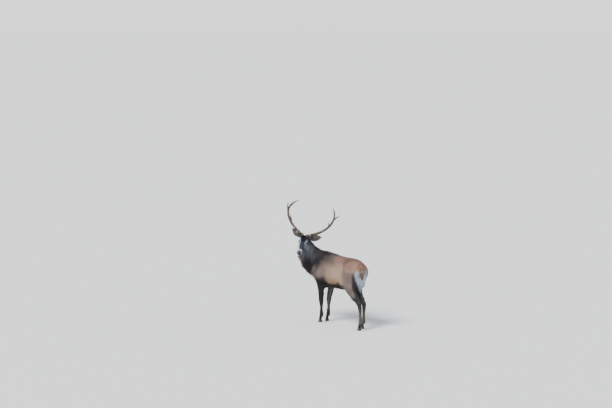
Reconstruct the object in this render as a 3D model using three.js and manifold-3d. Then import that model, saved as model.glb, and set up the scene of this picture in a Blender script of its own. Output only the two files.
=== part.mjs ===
// A red deer stag, life size, standing with its head turned back over its left shoulder.
//
// Frame: millimetres, +Z up. The chest faces -Y and the stag's left side is +X. The origin is on the
// ground, under the middle of the whole figure.
//
// Points are written as at(forward, left, up). Sizes reach out to the tips of the coat.
// Trunk, neck and legs are one smooth field, built from lofts and limbs that melt into each other.
// Each of their nodes is a mesh of that field inside its own box, parted from its neighbours by a
// thin cut. The head is a field of its own, seated in the neck.

import * as THREE from "three";
import Module from "manifold-3d";
import { mergeVertices } from "three/addons/utils/BufferGeometryUtils.js";

const wasm = await Module();
wasm.setup();

// ---------------------------------------------------------------- driving dimensions

const GAP = 0.3; // between nodes that touch
const WEB = 26; // how far neighbouring limbs melt together
const FEET_APART = 172; // between the middles of the two forefeet
const HIND_FEET_APART = 168;
// How far each foot is put forward, and how far each hind leg's thigh swings under the belly.
const STEP = { foreLeft: 15, foreRight: 44, hindLeft: -85, hindRight: 25 };
const STIFLE_FORWARD = { left: 0, right: 46 };

const HEAD_TURN = THREE.MathUtils.degToRad(134); // to the left, away from straight ahead
const HEAD_DROP = THREE.MathUtils.degToRad(33); // nose below the horizontal
const HEAD_ROLL = THREE.MathUtils.degToRad(12.5); // left ear lower than the right
const HEAD_PLACE = [759, 193, 1446]; // the middle of the skull at the poll

const EYE_RADIUS = 18;
const EYE_PLACE = [134, 66, 28]; // along the head, out and up, from the middle of the poll
const EAR_LENGTH = 236;
const EAR_WALL = 7;
const BEAM_RADIUS = 23; // just above the burr
const BURR_RADIUS = 37;
const CLAW_CLEFT = 5;

// ---------------------------------------------------------------- points and frames

const at = (forward, left, up) => new THREE.Vector3(left, -forward, up);
const FORWARD = at(1, 0, 0);
const LEFT = at(0, 1, 0);
const UP = at(0, 0, 1);
const SIDES = { left: 1, right: -1 };

// The head level and turned, and the head with its nose down as well.
const levelFrame = new THREE.Matrix4()
  .setPosition(at(...HEAD_PLACE))
  .multiply(new THREE.Matrix4().makeRotationZ(HEAD_TURN))
  .multiply(new THREE.Matrix4().makeRotationY(HEAD_ROLL));
const headFrame = levelFrame.clone().multiply(new THREE.Matrix4().makeRotationX(HEAD_DROP));
const inHead = (along, left, up) => at(along, left, up).applyMatrix4(headFrame);
const inLevel = (forward, left, up) => at(forward, left, up).applyMatrix4(levelFrame);
const turned = (vector, frame) => vector.clone().transformDirection(frame);

// ---------------------------------------------------------------- smooth fields, negative inside

const mix = THREE.MathUtils.lerp;
const clamp = THREE.MathUtils.clamp;

// The values of a table at s, by a smooth curve through its rows. The first column is s.
function along(rows, s) {
  const last = rows.length - 1;
  let i = 0;
  while (i < last - 1 && s > rows[i + 1][0]) i++;
  const a = rows[i];
  const b = rows[i + 1];
  const before = rows[Math.max(i - 1, 0)];
  const after = rows[Math.min(i + 2, last)];
  const span = b[0] - a[0];
  const t = clamp((s - a[0]) / span, 0, 1);
  const t2 = t * t;
  const t3 = t2 * t;
  return a.map((value, k) => {
    const slopeA = ((b[k] - before[k]) / (b[0] - before[0])) * span;
    const slopeB = ((after[k] - value) / (after[0] - a[0])) * span;
    return (
      (2 * t3 - 3 * t2 + 1) * value +
      (t3 - 2 * t2 + t) * slopeA +
      (3 * t2 - 2 * t3) * b[k] +
      (t3 - t2) * slopeB
    );
  });
}

// A body lofted along its frame's forward axis. Each ring is
// [forward, top, widest level, bottom, half width, roundness above, roundness below]: 2 is an ellipse.
function loft(frame, rings) {
  const inverse = frame.clone().invert();
  const local = new THREE.Vector3();
  const first = rings[0][0];
  const last = rings[rings.length - 1][0];
  return (p) => {
    local.copy(p).applyMatrix4(inverse);
    const s = clamp(-local.y, first, last);
    const [, top, belt, bottom, half, above, below] = along(rings, s);
    const rise = local.z - belt;
    const depth = rise > 0 ? top - belt : belt - bottom;
    const power = rise > 0 ? above : below;
    const past = Math.abs(-local.y - s);
    const inside = Math.abs(local.x / half) ** power + Math.abs(rise / depth) ** power;
    const ratio = Math.hypot(inside ** (1 / power), past / Math.min(half, depth));
    const reach = Math.hypot(local.x, rise, past);
    return ratio > 1e-3 ? reach * (1 - 1 / ratio) : -Math.min(half, depth);
  };
}

// A tapered limb from a to b. Each end has a half width, along `across`, and a half depth.
function limb(a, sizeA, b, sizeB, across = LEFT) {
  const axis = b.clone().sub(a);
  const length = axis.length();
  axis.divideScalar(length);
  const side = across.clone().addScaledVector(axis, -across.dot(axis)).normalize();
  const face = new THREE.Vector3().crossVectors(axis, side);
  const d = new THREE.Vector3();
  return (p) => {
    d.copy(p).sub(a);
    const run = d.dot(axis);
    const t = clamp(run / length, 0, 1);
    const width = mix(sizeA[0], sizeB[0], t);
    const depth = mix(sizeA[1], sizeB[1], t);
    const past = run - t * length;
    const x = d.dot(side);
    const y = d.dot(face);
    const ratio = Math.hypot(x / width, y / depth, past / Math.min(width, depth));
    const reach = Math.hypot(x, y, past);
    return ratio > 1e-3 ? reach * (1 - 1 / ratio) : -Math.min(width, depth);
  };
}

// A chain of limbs through stations [point, half width, half depth, across].
function chain(web, stations) {
  const links = stations.slice(1).map((b, i) => {
    const a = stations[i];
    const across = (a[3] ?? LEFT).clone().add(b[3] ?? LEFT).normalize();
    return limb(a[0], [a[1], a[2]], b[0], [b[1], b[2]], across);
  });
  return blend(web, ...links);
}

// A union whose members melt together over the distance `web`.
function blend(web, ...fields) {
  return (p) =>
    fields.reduce((sum, field) => {
      const value = field(p);
      const h = Math.max(web - Math.abs(sum - value), 0) / web;
      return Math.min(sum, value) - (h * h * web) / 4;
    }, 1e4);
}

// ---------------------------------------------------------------- solids

// A mesh of the field's surface within a box, as a solid. `cell` is the size of its facets.
function solidOf(field, low, high, cell) {
  const count = low.map((v, k) => Math.ceil((high[k] - v) / cell[k]) + 1);
  const [nx, ny, nz] = count;
  const index = (i, j, k) => (k * ny + j) * nx + i;
  const place = (i, j, k, to = new THREE.Vector3()) =>
    to.set(low[0] + i * cell[0], low[1] + j * cell[1], low[2] + k * cell[2]);
  const outside = Math.min(...cell) / 2;
  const onEdge = (i, j, k) =>
    i === 0 || j === 0 || k === 0 || i === nx - 1 || j === ny - 1 || k === nz - 1;
  const value = new Float32Array(nx * ny * nz);
  const p = new THREE.Vector3();
  for (let k = 0; k < nz; k++)
    for (let j = 0; j < ny; j++)
      for (let i = 0; i < nx; i++)
        value[index(i, j, k)] = onEdge(i, j, k) ? outside : field(place(i, j, k, p));

  // One vertex for each sheet of surface that crosses a cell, at the middle of its crossings. A
  // cell's corner is three bits, and its edge is the corner it starts from and the axis it follows.
  const sheets = new Map();
  const points = [];
  const edgeId = (corner, axis) => axis * 8 + corner;
  const vertexOf = (i, j, k, edge) => {
    const key = index(i, j, k);
    if (!sheets.has(key)) sheets.set(key, sheetsIn(i, j, k));
    return sheets.get(key).get(edge);
  };
  const sheetsIn = (i, j, k) => {
    const node = (c) => [i + (c & 1), j + ((c >> 1) & 1), k + (c >> 2)];
    const values = Array.from({ length: 8 }, (_, c) => value[index(...node(c))]);
    const sheetOf = new Map();
    for (let axis = 0; axis < 3; axis++)
      for (let c = 0; c < 8; c++) {
        const far = c | (1 << axis);
        if (far !== c && values[c] < 0 !== values[far] < 0)
          sheetOf.set(edgeId(c, axis), edgeId(c, axis));
      }
    const join = (a, b) => {
      const [from, to] = [sheetOf.get(a), sheetOf.get(b)];
      for (const [edge, sheet] of sheetOf) if (sheet === from) sheetOf.set(edge, to);
    };
    for (let axis = 0; axis < 3; axis++)
      for (const base of [0, 1 << axis]) {
        const [u, v] = [(axis + 1) % 3, (axis + 2) % 3];
        const ring = [
          edgeId(base, u),
          edgeId(base | (1 << u), v),
          edgeId(base | (1 << v), u),
          edgeId(base, v),
        ];
        const crossed = ring.filter((edge) => sheetOf.has(edge));
        if (crossed.length === 2) join(...crossed);
        if (crossed.length < 4) continue;
        const [a, b, c, d] = ring;
        if (values[base] < 0) [[d, a], [b, c]].forEach((pair) => join(...pair));
        else [[a, b], [c, d]].forEach((pair) => join(...pair));
      }
    const vertices = new Map();
    const nearEdge = onEdge(i, j, k) || onEdge(i + 1, j + 1, k + 1);
    for (const sheet of new Set(sheetOf.values())) {
      const members = [...sheetOf.keys()].filter((edge) => sheetOf.get(edge) === sheet);
      const middle = new THREE.Vector3();
      for (const edge of members) {
        const c = edge % 8;
        const far = c | (1 << (edge >> 3));
        const t = values[c] / (values[c] - values[far]);
        middle.add(place(...node(c)).lerp(place(...node(far)), t));
      }
      middle.divideScalar(members.length);
      points.push(nearEdge ? middle : ontoSurface(field, middle, outside / 2));
      members.forEach((edge) => vertices.set(edge, points.length - 1));
    }
    return vertices;
  };

  // A quad round each grid edge that the surface crosses.
  const triangles = [];
  for (let k = 0; k < nz - 1; k++)
    for (let j = 0; j < ny - 1; j++)
      for (let i = 0; i < nx - 1; i++)
        for (let axis = 0; axis < 3; axis++) {
          const step = [0, 0, 0];
          step[axis] = 1;
          const here = value[index(i, j, k)] < 0;
          const next = value[index(i + step[0], j + step[1], k + step[2])] < 0;
          if (here === next) continue;
          const [u, v] = [(axis + 1) % 3, (axis + 2) % 3];
          const ring = [0, 1 << u, (1 << u) | (1 << v), 1 << v].map((c) =>
            vertexOf(i - (c & 1), j - ((c >> 1) & 1), k - (c >> 2), edgeId(c, axis)),
          );
          const [a, b, c, d] = here ? ring : ring.reverse();
          triangles.push(a, b, c, a, c, d);
        }
  return manifold(points.flatMap((v) => v.toArray()), triangles);
}

// Moves a point near the surface onto it, along the field's own slope, by steps of up to `stride`.
function ontoSurface(field, point, stride) {
  const small = 0.5;
  const slope = new THREE.Vector3();
  for (let n = 0; n < 6; n++) {
    const value = field(point);
    slope.set(
      field(point.clone().setX(point.x + small)) - value,
      field(point.clone().setY(point.y + small)) - value,
      field(point.clone().setZ(point.z + small)) - value,
    );
    slope.multiplyScalar(-value / small / Math.max(slope.lengthSq() / small ** 2, 0.1));
    point.add(slope.clampLength(0, stride));
  }
  return point;
}

// A copy of a solid pushed outwards along the field's slope, to cut a seat in its neighbour.
function swollen(solid, field, by) {
  const small = 0.5;
  const p = new THREE.Vector3();
  return solid.warp((v) => {
    const value = field(p.set(...v));
    const slope = [0, 1, 2].map((k) => {
      p.setComponent(k, v[k] + small);
      const rise = field(p) - value;
      p.setComponent(k, v[k]);
      return rise;
    });
    const scale = by / Math.max(Math.hypot(...slope), 1e-6);
    slope.forEach((rise, k) => (v[k] += rise * scale));
  });
}

function manifold(positions, triangles) {
  return new wasm.Manifold(
    new wasm.Mesh({
      numProp: 3,
      vertProperties: new Float32Array(positions),
      triVerts: new Uint32Array(triangles),
    }),
  );
}

function solidFrom(geometry, matrix = new THREE.Matrix4()) {
  const bare = new THREE.BufferGeometry();
  bare.setAttribute("position", geometry.toNonIndexed().getAttribute("position").clone());
  const merged = mergeVertices(bare.applyMatrix4(matrix), 1e-3);
  const positions = merged.attributes.position.array;
  const triangles = [];
  for (let i = 0; i < merged.index.count; i += 3) {
    const [a, b, c] = merged.index.array.slice(i, i + 3);
    if (a !== b && b !== c && c !== a) triangles.push(a, b, c);
  }
  return manifold(positions, triangles);
}

// A cut is a plane through a point. The solid keeps the side that the normal points to.
const plane = (point, normal) => ({ point, normal: normal.clone().normalize() });
const flip = ({ point, normal }) => ({ point, normal: normal.clone().negate() });
const trim = (solid, ...planes) =>
  planes.reduce(
    (left, { point, normal }) =>
      left.trimByPlane(normal.toArray(), normal.dot(point) + GAP / 2),
    solid,
  );

// A closed skin over rows of points, each row a ring. Ends close on their own middle.
function skinOver(rings) {
  const size = rings[0].length;
  const points = rings.flat();
  const middle = (ring) =>
    ring.reduce((sum, v) => sum.add(v), new THREE.Vector3()).divideScalar(size);
  points.push(middle(rings[0]), middle(rings[rings.length - 1]));
  const triangles = [];
  const start = points.length - 2;
  const lastRing = (rings.length - 1) * size;
  for (let j = 0; j < size; j++) {
    const next = (j + 1) % size;
    for (let i = 0; i < rings.length - 1; i++) {
      const a = i * size;
      const b = a + size;
      triangles.push(a + j, a + next, b + next, a + j, b + next, b + j);
    }
    triangles.push(start, next, j, start + 1, lastRing + j, lastRing + next);
  }
  const positions = points.flatMap((v) => v.toArray());
  const made = manifold(positions, triangles);
  return made.volume() > 0 ? made : manifold(positions, triangles.reverse());
}

// ---------------------------------------------------------------- the trunk

const TRUNK_RINGS = [
  [-632, 1040, 985, 925, 50, 2, 2],
  [-598, 1108, 990, 880, 112, 2, 2],
  [-540, 1174, 980, 820, 158, 2, 2],
  [-400, 1211, 955, 735, 188, 1.9, 2],
  [-230, 1210, 895, 668, 214, 1.9, 2],
  [-20, 1220, 875, 636, 228, 1.85, 2],
  [170, 1246, 895, 636, 214, 1.75, 2],
  [330, 1256, 915, 618, 190, 1.6, 2],
  [440, 1250, 920, 632, 166, 1.6, 2],
  [540, 1160, 900, 706, 132, 1.8, 2],
  [610, 1020, 880, 786, 88, 2, 2],
];

function shoulderField(side) {
  const s = SIDES[side];
  return blend(
    50,
    limb(at(372, s * 92, 1125), [48, 82], at(520, s * 128, 890), [58, 92]),
    limb(at(520, s * 128, 870), [58, 84], at(398, s * 132, 735), [54, 82]),
    limb(at(345, s * 118, 1000), [58, 88], at(352, s * 136, 775), [50, 68]),
  );
}

function haunchField(side) {
  const s = SIDES[side];
  return blend(
    60,
    limb(at(-370, s * 88, 1075), [72, 92], at(-470, s * 104, 950), [86, 132]),
    limb(at(-390, s * 116, 960), [78, 110], at(-318, s * 142, 765), [56, 74]),
    limb(at(-546, s * 90, 1010), [66, 74], at(-462, s * 108, 760), [58, 80]),
    limb(at(-300, s * 150, 770), [34, 52], at(-175, s * 165, 725), [20, 40]), // the fold of the flank
  );
}

const sheath = limb(at(-60, 0, 662), [30, 30], at(-180, 0, 668), [32, 36]);
const scrotum = limb(at(-455, 0, 800), [38, 42], at(-468, 0, 735), [33, 34]);

// ---------------------------------------------------------------- the legs

function forelegStations(side) {
  const s = SIDES[side];
  const step = STEP[side === "left" ? "foreLeft" : "foreRight"];
  const foot = FEET_APART / 2;
  return [
    [at(388, s * 126, 740), 54, 80],
    [at(384 + 0.1 * step, s * 114, 640), 52, 77],
    [at(394 + 0.3 * step, s * (foot + 14), 500), 42, 56],
    [at(402 + 0.45 * step, s * (foot + 7), 428), 37, 43],
    [at(406 + 0.5 * step, s * (foot + 5), 398), 37, 42],
    [at(403 + 0.55 * step, s * (foot + 3), 345), 28, 32],
    [at(398 + 0.8 * step, s * (foot + 1), 200), 23, 26.5],
    [at(395 + 0.95 * step, s * foot, 140), 26, 29],
    [at(399 + step, s * foot, 122), 25, 27],
    [at(430 + step, s * foot, 62), 27, 26],
  ];
}

// The left hind foot is set a little nearer the middle line than the right one.
const hindFootOut = (side) => HIND_FEET_APART / 2 - (side === "left" ? 13 : 0);

function hindlegStations(side) {
  const s = SIDES[side];
  const step = STEP[side === "left" ? "hindLeft" : "hindRight"];
  const swing = STIFLE_FORWARD[side];
  const foot = hindFootOut(side);
  return [
    [at(-348 + 0.1 * step + 0.3 * swing, s * 136, 770), 58, 84],
    [at(-414 + 0.25 * step + 0.8 * swing, s * 112, 668), 54, 84],
    [at(-486 + 0.45 * step + swing, s * 92, 556), 44, 64],
    [at(-560 + 0.6 * step + 0.2 * swing, s * (foot + 2), 462), 31, 39],
    [at(-584 + 0.66 * step, s * foot, 415), 29, 36],
    [at(-586 + 0.75 * step, s * (foot - 1), 358), 25, 30],
    [at(-582 + 0.9 * step, s * foot, 205), 21.5, 25.5],
    [at(-580 + 0.97 * step, s * foot, 145), 25, 29],
    [at(-577 + step, s * foot, 126), 25, 28],
    [at(-546 + step, s * foot, 62), 27, 26],
  ];
}

// The string of the hock, from the back of the thigh to the point of the hock.
function hockString(side) {
  const s = SIDES[side];
  const step = STEP[side === "left" ? "hindLeft" : "hindRight"];
  const swing = STIFLE_FORWARD[side];
  const middle = hindFootOut(side);
  const point = at(-622 + 0.6 * step, s * (middle + 2), 488);
  return blend(
    20,
    limb(at(-436 + 0.35 * step + 0.8 * swing, s * 106, 665), [32, 42], point, [14, 17]),
    limb(point, [17, 18], at(-598 + 0.66 * step, s * middle, 430), [22, 26]),
  );
}

// ---------------------------------------------------------------- the neck and the head

// Half width and half depth of the neck, from inside the shoulders up to the skull. It swings out
// past the head and bends back to it. `turn` is its twist there, as a share of the head's turn.
const NECK = [
  { place: [400, 0, 985], width: 140, depth: 225, turn: 0 },
  { place: [535, 12, 1040], width: 132, depth: 215, turn: 0 },
  { place: [654, 45, 1116], width: 122, depth: 185, turn: 0.1 },
  { place: [737, 88, 1211], width: 111, depth: 145, turn: 0.3 },
  { place: [782, 130, 1312], width: 99, depth: 111, turn: 0.6 },
  { place: [788, 163, 1399], width: 86, depth: 87, turn: 0.85 },
  { place: [772, 182, 1446], width: 68, depth: 66, turn: 1 },
];
// The long mane hangs under the throat, down to the breast.
const MANE = [
  { place: [600, 15, 880], width: 102, depth: 98, turn: 0 },
  { place: [702, 62, 950], width: 112, depth: 126, turn: 0.1 },
  { place: [782, 108, 1048], width: 110, depth: 130, turn: 0.2 },
  { place: [806, 140, 1165], width: 102, depth: 116, turn: 0.4 },
  { place: [796, 164, 1275], width: 92, depth: 94, turn: 0.6 },
];
const stationsOf = (rows) =>
  rows.map(({ place, width, depth, turn }) => {
    const across = LEFT.clone().applyAxisAngle(UP, turn * HEAD_TURN);
    return [at(...place), width, depth, across];
  });
const neckField = blend(60, chain(60, stationsOf(NECK)), chain(60, stationsOf(MANE)));

const HEAD_RINGS = [
  [-22, 34, 0, -36, 34, 2, 2],
  [12, 58, -4, -72, 62, 2.1, 2],
  [60, 70, -4, -90, 70, 2.3, 2],
  [122, 64, 0, -98, 68, 2.3, 1.9],
  [175, 54, -2, -90, 59, 2.2, 1.9],
  [235, 45, -4, -70, 48, 2.2, 2],
  [300, 41, -4, -54, 43, 2.3, 2],
  [350, 40, -4, -49, 44, 2.4, 2.1],
  [386, 36, -4, -44, 43, 2.3, 2.1],
  [404, 24, -4, -32, 32, 2, 2],
];

function headSideField(side) {
  const s = SIDES[side];
  const across = turned(LEFT, headFrame);
  return blend(
    16,
    limb(inHead(104, s * 50, 38), [22, 22], inHead(152, s * 50, 32), [20, 20], across), // brow
    limb(inHead(105, s * 38, -44), [30, 46], inHead(150, s * 34, -50), [24, 34], across), // cheek
    limb(inHead(100, s * 26, -72), [22, 22], inHead(330, s * 14, -36), [16, 14], across), // jaw
    limb(inHead(62, s * 30, 50), [26, 26], inHead(34, s * 54, 116), [23, 23], across), // pedicle
    limb(inHead(382, s * 24, 10), [20, 22], inHead(354, s * 24, 6), [20, 22], across), // nostril
  );
}

const headField = blend(
  20,
  loft(headFrame, HEAD_RINGS),
  headSideField("left"),
  headSideField("right"),
);

// ---------------------------------------------------------------- the flesh as a whole

const flesh = blend(
  WEB,
  blend(
    70,
    loft(new THREE.Matrix4(), TRUNK_RINGS),
    blend(40, shoulderField("left"), shoulderField("right")),
    blend(40, haunchField("left"), haunchField("right")),
    neckField,
  ),
  chain(WEB, forelegStations("left")),
  chain(WEB, forelegStations("right")),
  blend(WEB, chain(WEB, hindlegStations("left")), hockString("left")),
  blend(WEB, chain(WEB, hindlegStations("right")), hockString("right")),
  sheath,
  scrotum,
);

const neckCut = plane(at(505, 16, 1010), at(0.78, 0.08, 0.62));
// The plane over the top of a leg slopes up outwards, and back along a hind leg.
const forelegCut = (side) => plane(at(400, 0, 590), at(0, SIDES[side] * 0.75, -1));
const hindlegCut = (side) => plane(at(-230, 0, 640), at(-0.42, SIDES[side] * 0.36, -1));
const kneeCut = plane(at(0, 0, 352), UP);
const hockCut = plane(at(0, 0, 392), UP);

// A block that takes a leg out of the trunk: it hangs from the leg's cut, between two stations.
function legBlock(cut, side, front, back) {
  const deep = 900;
  const wide = 420;
  const out = SIDES[side];
  const box = new THREE.BoxGeometry(wide, 2000, deep);
  box.translate((out * wide) / 2 + out * 2, 0, -deep / 2 + GAP / 2);
  const turn = new THREE.Quaternion().setFromUnitVectors(UP, cut.normal.clone().negate());
  const frame = new THREE.Matrix4().compose(cut.point, turn, new THREE.Vector3(1, 1, 1));
  return trim(
    solidFrom(box, frame),
    plane(at(front, 0, 0), at(-1, 0, 0)),
    plane(at(back, 0, 0), FORWARD),
  );
}

// ---------------------------------------------------------------- ears, eyes, tail

// The ear is a leaf rolled into a cup. Each row is [share of length, radius, half angle].
const EAR_ROWS = [
  [0, 24, 2.6],
  [0.14, 33, 2.35],
  [0.32, 49, 1.85],
  [0.52, 61, 1.35],
  [0.72, 60, 1.02],
  [0.87, 45, 0.78],
  [0.96, 23, 0.62],
  [1, 8, 0.5],
];

// Where each ear points: back, out and up, with the head level.
const EAR_POINTS = { left: [0.26, 0.88, 0.26], right: [0.22, 0.9, 0.42] };

function earSolid(side, grow = 0) {
  const s = SIDES[side];
  const root = inHead(-14, s * 60, 14);
  const [back, out, up] = EAR_POINTS[side];
  const tip = turned(at(-back, s * out, up), levelFrame).normalize();
  const opening = turned(at(0.92, s * 0.34, 0.06), levelFrame);
  opening.addScaledVector(tip, -opening.dot(tip)).normalize();
  const across = new THREE.Vector3().crossVectors(tip, opening);
  const steps = 6;
  const half = 4;
  const rings = [];
  for (let i = 0; i <= steps; i++) {
    const share = i / steps;
    const [, radius, angle] = along(EAR_ROWS, share);
    const run = share * EAR_LENGTH + (i === 0 ? -grow : 0);
    const wall = Math.min(EAR_WALL, radius * 0.45);
    const centre = root.clone().addScaledVector(tip, run);
    centre.addScaledVector(opening, 0.55 * radius - 12 * share * share);
    const arc = (r, from, to) =>
      Array.from({ length: half + 1 }, (_, j) => {
        const turn = mix(from, to, j / half);
        return centre
          .clone()
          .addScaledVector(across, r * Math.sin(turn))
          .addScaledVector(opening, -r * Math.cos(turn));
      });
    const edge = grow / radius;
    rings.push([
      ...arc(radius + grow, -angle - edge, angle + edge),
      ...arc(radius - wall - grow, angle + edge, -angle - edge),
    ]);
  }
  return skinOver(rings);
}

function eyeSolid(side, grow = 0) {
  const [run, out, up] = EYE_PLACE;
  const ball = new THREE.SphereGeometry(EYE_RADIUS + grow, 9, 6);
  const centre = inHead(run, SIDES[side] * out, up);
  return solidFrom(ball, new THREE.Matrix4().setPosition(centre));
}

const tailField = chain(14, [
  [at(-570, 8, 1096), 34, 26],
  [at(-626, 18, 1066), 35, 26],
  [at(-656, 27, 1000), 35, 24],
  [at(-660, 31, 930), 28, 19],
  [at(-652, 32, 884), 13, 10],
]);

// ---------------------------------------------------------------- antlers

// A tapered horn along a curve through the points. `radius` is a function of the distance from the
// start and of its share of the length. `ease` above 1 crowds the rings towards the start. `grow`
// makes the horn fatter, to cut a seat in another piece.
function horn(points, radius, { sides = 6, steps = 5, ease = 1, pointed = true, grow = 0 } = {}) {
  const curve = new THREE.CatmullRomCurve3(points, false, "centripetal");
  const length = curve.getLength();
  let normal = new THREE.Vector3(0.3, 0.2, 1);
  const rings = [];
  for (let i = 0; i <= steps; i++) {
    const share = (i / steps) ** ease;
    const centre = curve.getPointAt(share);
    const tangent = curve.getTangentAt(share);
    normal = normal.clone().addScaledVector(tangent, -normal.dot(tangent)).normalize();
    const binormal = new THREE.Vector3().crossVectors(tangent, normal);
    const end = pointed && i === steps ? 0.35 : 1;
    const r = radius(share * length, share) * end + grow;
    rings.push(
      Array.from({ length: sides }, (_, j) => {
        const turn = (j / sides) * 2 * Math.PI;
        return centre
          .clone()
          .addScaledVector(normal, r * Math.cos(turn))
          .addScaledVector(binormal, r * Math.sin(turn));
      }),
    );
  }
  return skinOver(rings);
}

// Antler points are [out, back, up] from the top of the pedicle, with the head held level.
const BEAM = [
  [0, 0, 0],
  [42, 30, 22],
  [112, 78, 54],
  [196, 118, 104],
  [274, 146, 174],
  [334, 168, 264],
  [364, 196, 365],
];

// Tines grow from the beam, at a share of its length. The crown's tines part at its end.
const BROW = {
  root: 0.07,
  radius: 15,
  points: [[46, -62, 16], [60, -140, 28], [68, -200, 66], [68, -226, 112]],
};
const BEZ = { root: 0.19, radius: 12, points: [[116, -10, 56], [140, -92, 88], [146, -148, 148]] };
const TINES = {
  left: {
    brow: BROW,
    bez: BEZ,
    trez: { root: 0.5, radius: 13, points: [[222, 66, 118], [234, 4, 130], [238, -34, 166]] },
    spur: { root: 0.74, radius: 9, points: [[304, 124, 262], [298, 104, 326]] },
    inner: { root: 1, radius: 17, points: [[356, 232, 446], [316, 276, 520], [264, 302, 586]] },
    outer: { root: 1, radius: 13, points: [[398, 204, 402], [440, 192, 440], [456, 180, 496]] },
  },
  right: {
    brow: BROW,
    bez: BEZ,
    trez: { root: 0.58, radius: 13, points: [[254, 92, 214], [276, 32, 268], [276, 8, 336]] },
    inner: { root: 1, radius: 17, points: [[336, 226, 446], [266, 262, 516], [170, 286, 578]] },
    outer: { root: 1, radius: 12, points: [[380, 160, 424], [372, 130, 466], [344, 118, 512]] },
    middle: { root: 1, radius: 11, points: [[326, 172, 434], [284, 152, 474], [246, 146, 520]] },
  },
};

// Where each antler stands on the skull, and the way its pedicle leans.
const pedicleTop = (s) => [36, s * 52, 111];
const pedicleLean = (s) => at(-28, s * 24, 66);
const pedicleCut = (s) => plane(inHead(...pedicleTop(s)), turned(pedicleLean(s), headFrame));

function antlerSolids(side) {
  const s = SIDES[side];
  const top = inHead(...pedicleTop(s));
  const base = new THREE.Vector3().copy(top).applyMatrix4(levelFrame.clone().invert());
  const place = ([out, back, up]) => inLevel(-base.y - back, base.x + s * out, base.z + up);
  const pedicle = turned(pedicleLean(s), headFrame).normalize();
  const beam = BEAM.map(place);
  const beamCurve = new THREE.CatmullRomCurve3(beam, false, "centripetal");
  const beamLength = beamCurve.getLength();
  const shaft = (run) => mix(BEAM_RADIUS, 17.5, clamp(run / beamLength, 0, 1));
  const burr = (run) => shaft(run) + (BURR_RADIUS - BEAM_RADIUS) * Math.exp(-((run / 13) ** 4));

  // The beam is drawn from just inside the pedicle, and its foot is cut flat on the pedicle's top.
  const beamHorn = (from, to, steps, grow = 0) => {
    const points = Array.from({ length: steps + 1 }, (_, i) =>
      beamCurve.getPointAt(mix(from, to, i / steps) / beamLength),
    );
    if (from === 0) points.unshift(top.clone().addScaledVector(pedicle, -14));
    const offset = from === 0 ? 14 : 0;
    return horn(points, (run) => burr(Math.max(run + from - offset, 0)), {
      sides: 8,
      steps,
      ease: from === 0 ? 1.7 : 1,
      pointed: false,
      grow,
    });
  };
  const joint = 0.65 * beamLength;
  const fork = beamLength - 20;
  const across = (run) =>
    plane(beamCurve.getPointAt(run / beamLength), beamCurve.getTangentAt(run / beamLength));
  const lower = [0, joint + 30, 9];
  const upper = [joint - 30, beamLength, 4];
  const nodes = {
    beam_lower: trim(beamHorn(...lower), plane(top, pedicle), flip(across(joint))),
    beam_upper: trim(beamHorn(...upper), across(joint), flip(across(fork))),
  };
  const seats = [beamHorn(...lower, GAP), trim(beamHorn(...upper, GAP), flip(across(fork + 1)))];

  // The inner tine carries the beam on past the fork. The others are seated on what came before.
  for (const [name, { root, radius, points }] of Object.entries(TINES[side])) {
    const carriesOn = name === "inner";
    const start = beamCurve.getPointAt(Math.min(root, fork / beamLength));
    const before = carriesOn ? [beamCurve.getPointAt((fork - 40) / beamLength), start] : [start];
    const foot = carriesOn ? 0 : 4;
    const taper = (run, share) => radius * (1.04 - 0.84 * share ** 1.5) + foot * Math.exp(-run / 22);
    const tine = (grow) => horn([...before, ...points.map(place)], taper, { grow });
    const body = carriesOn ? trim(tine(0), across(fork)) : tine(0);
    nodes[`${name}_tine`] = (carriesOn ? seats.slice(2) : seats).reduce(
      (left, seat) => left.subtract(seat),
      body,
    );
    seats.push(tine(GAP));
  }
  return nodes;
}

// ---------------------------------------------------------------- feet

// A foot's own frame stands on the ground under its pastern, with the toes a little turned out.
function footFrame(end, side) {
  const stations = end === "fore" ? forelegStations(side) : hindlegStations(side);
  const pastern = stations[stations.length - 1][0];
  return new THREE.Matrix4()
    .setPosition(pastern.x, pastern.y, 0)
    .multiply(new THREE.Matrix4().makeRotationZ(SIDES[side] * 0.1));
}

const coronetCut = (frame) =>
  plane(at(0, 0, 56).applyMatrix4(frame), turned(at(-0.42, 0, 1), frame));

// One claw of the cleft hoof: high and round at the coronet, low and pointed at the toe. Each level
// of its outline is [height, heel, toe, width, share of the length at which it is widest].
const CLAW_LEVELS = [
  [-4, -34, 49, 29, 0.4],
  [9, -35, 48, 31, 0.4],
  [34, -32, 33, 30, 0.42],
  [82, -24, 12, 27, 0.5],
];
function clawSolid(frame, claw) {
  const rings = CLAW_LEVELS.map(([height, heel, toe, width, belly]) => {
    const middle = mix(heel, toe, belly);
    const outline = [
      [heel + 6, 0],
      [heel, width * 0.35],
      [heel + 5, width * 0.8],
      [middle, width],
      [mix(middle, toe, 0.62), width * 0.78],
      [toe, width * 0.26],
      [toe - 3, 0],
    ];
    return outline.map(([forward, out]) =>
      at(forward, claw * (out + CLAW_CLEFT / 2), height).applyMatrix4(frame),
    );
  });
  return trim(
    skinOver(rings),
    { point: new THREE.Vector3(0, 0, -GAP / 2), normal: UP },
    flip(coronetCut(frame)),
  );
}

// A dew claw hangs behind the fetlock.
function dewclawSolid(end, side, claw, grow = 0) {
  const stations = end === "fore" ? forelegStations(side) : hindlegStations(side);
  const fetlock = stations[stations.length - 2][0];
  const cone = new THREE.SphereGeometry(1, 6, 3);
  cone.scale(9 + grow, 10 + grow, 17 + grow);
  const place = fetlock.clone().add(at(-27, claw * 16, -8));
  const lean = new THREE.Matrix4().makeRotationX(-0.45);
  return solidFrom(cone, new THREE.Matrix4().setPosition(place).multiply(lean));
}

// ---------------------------------------------------------------- the nodes

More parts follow.
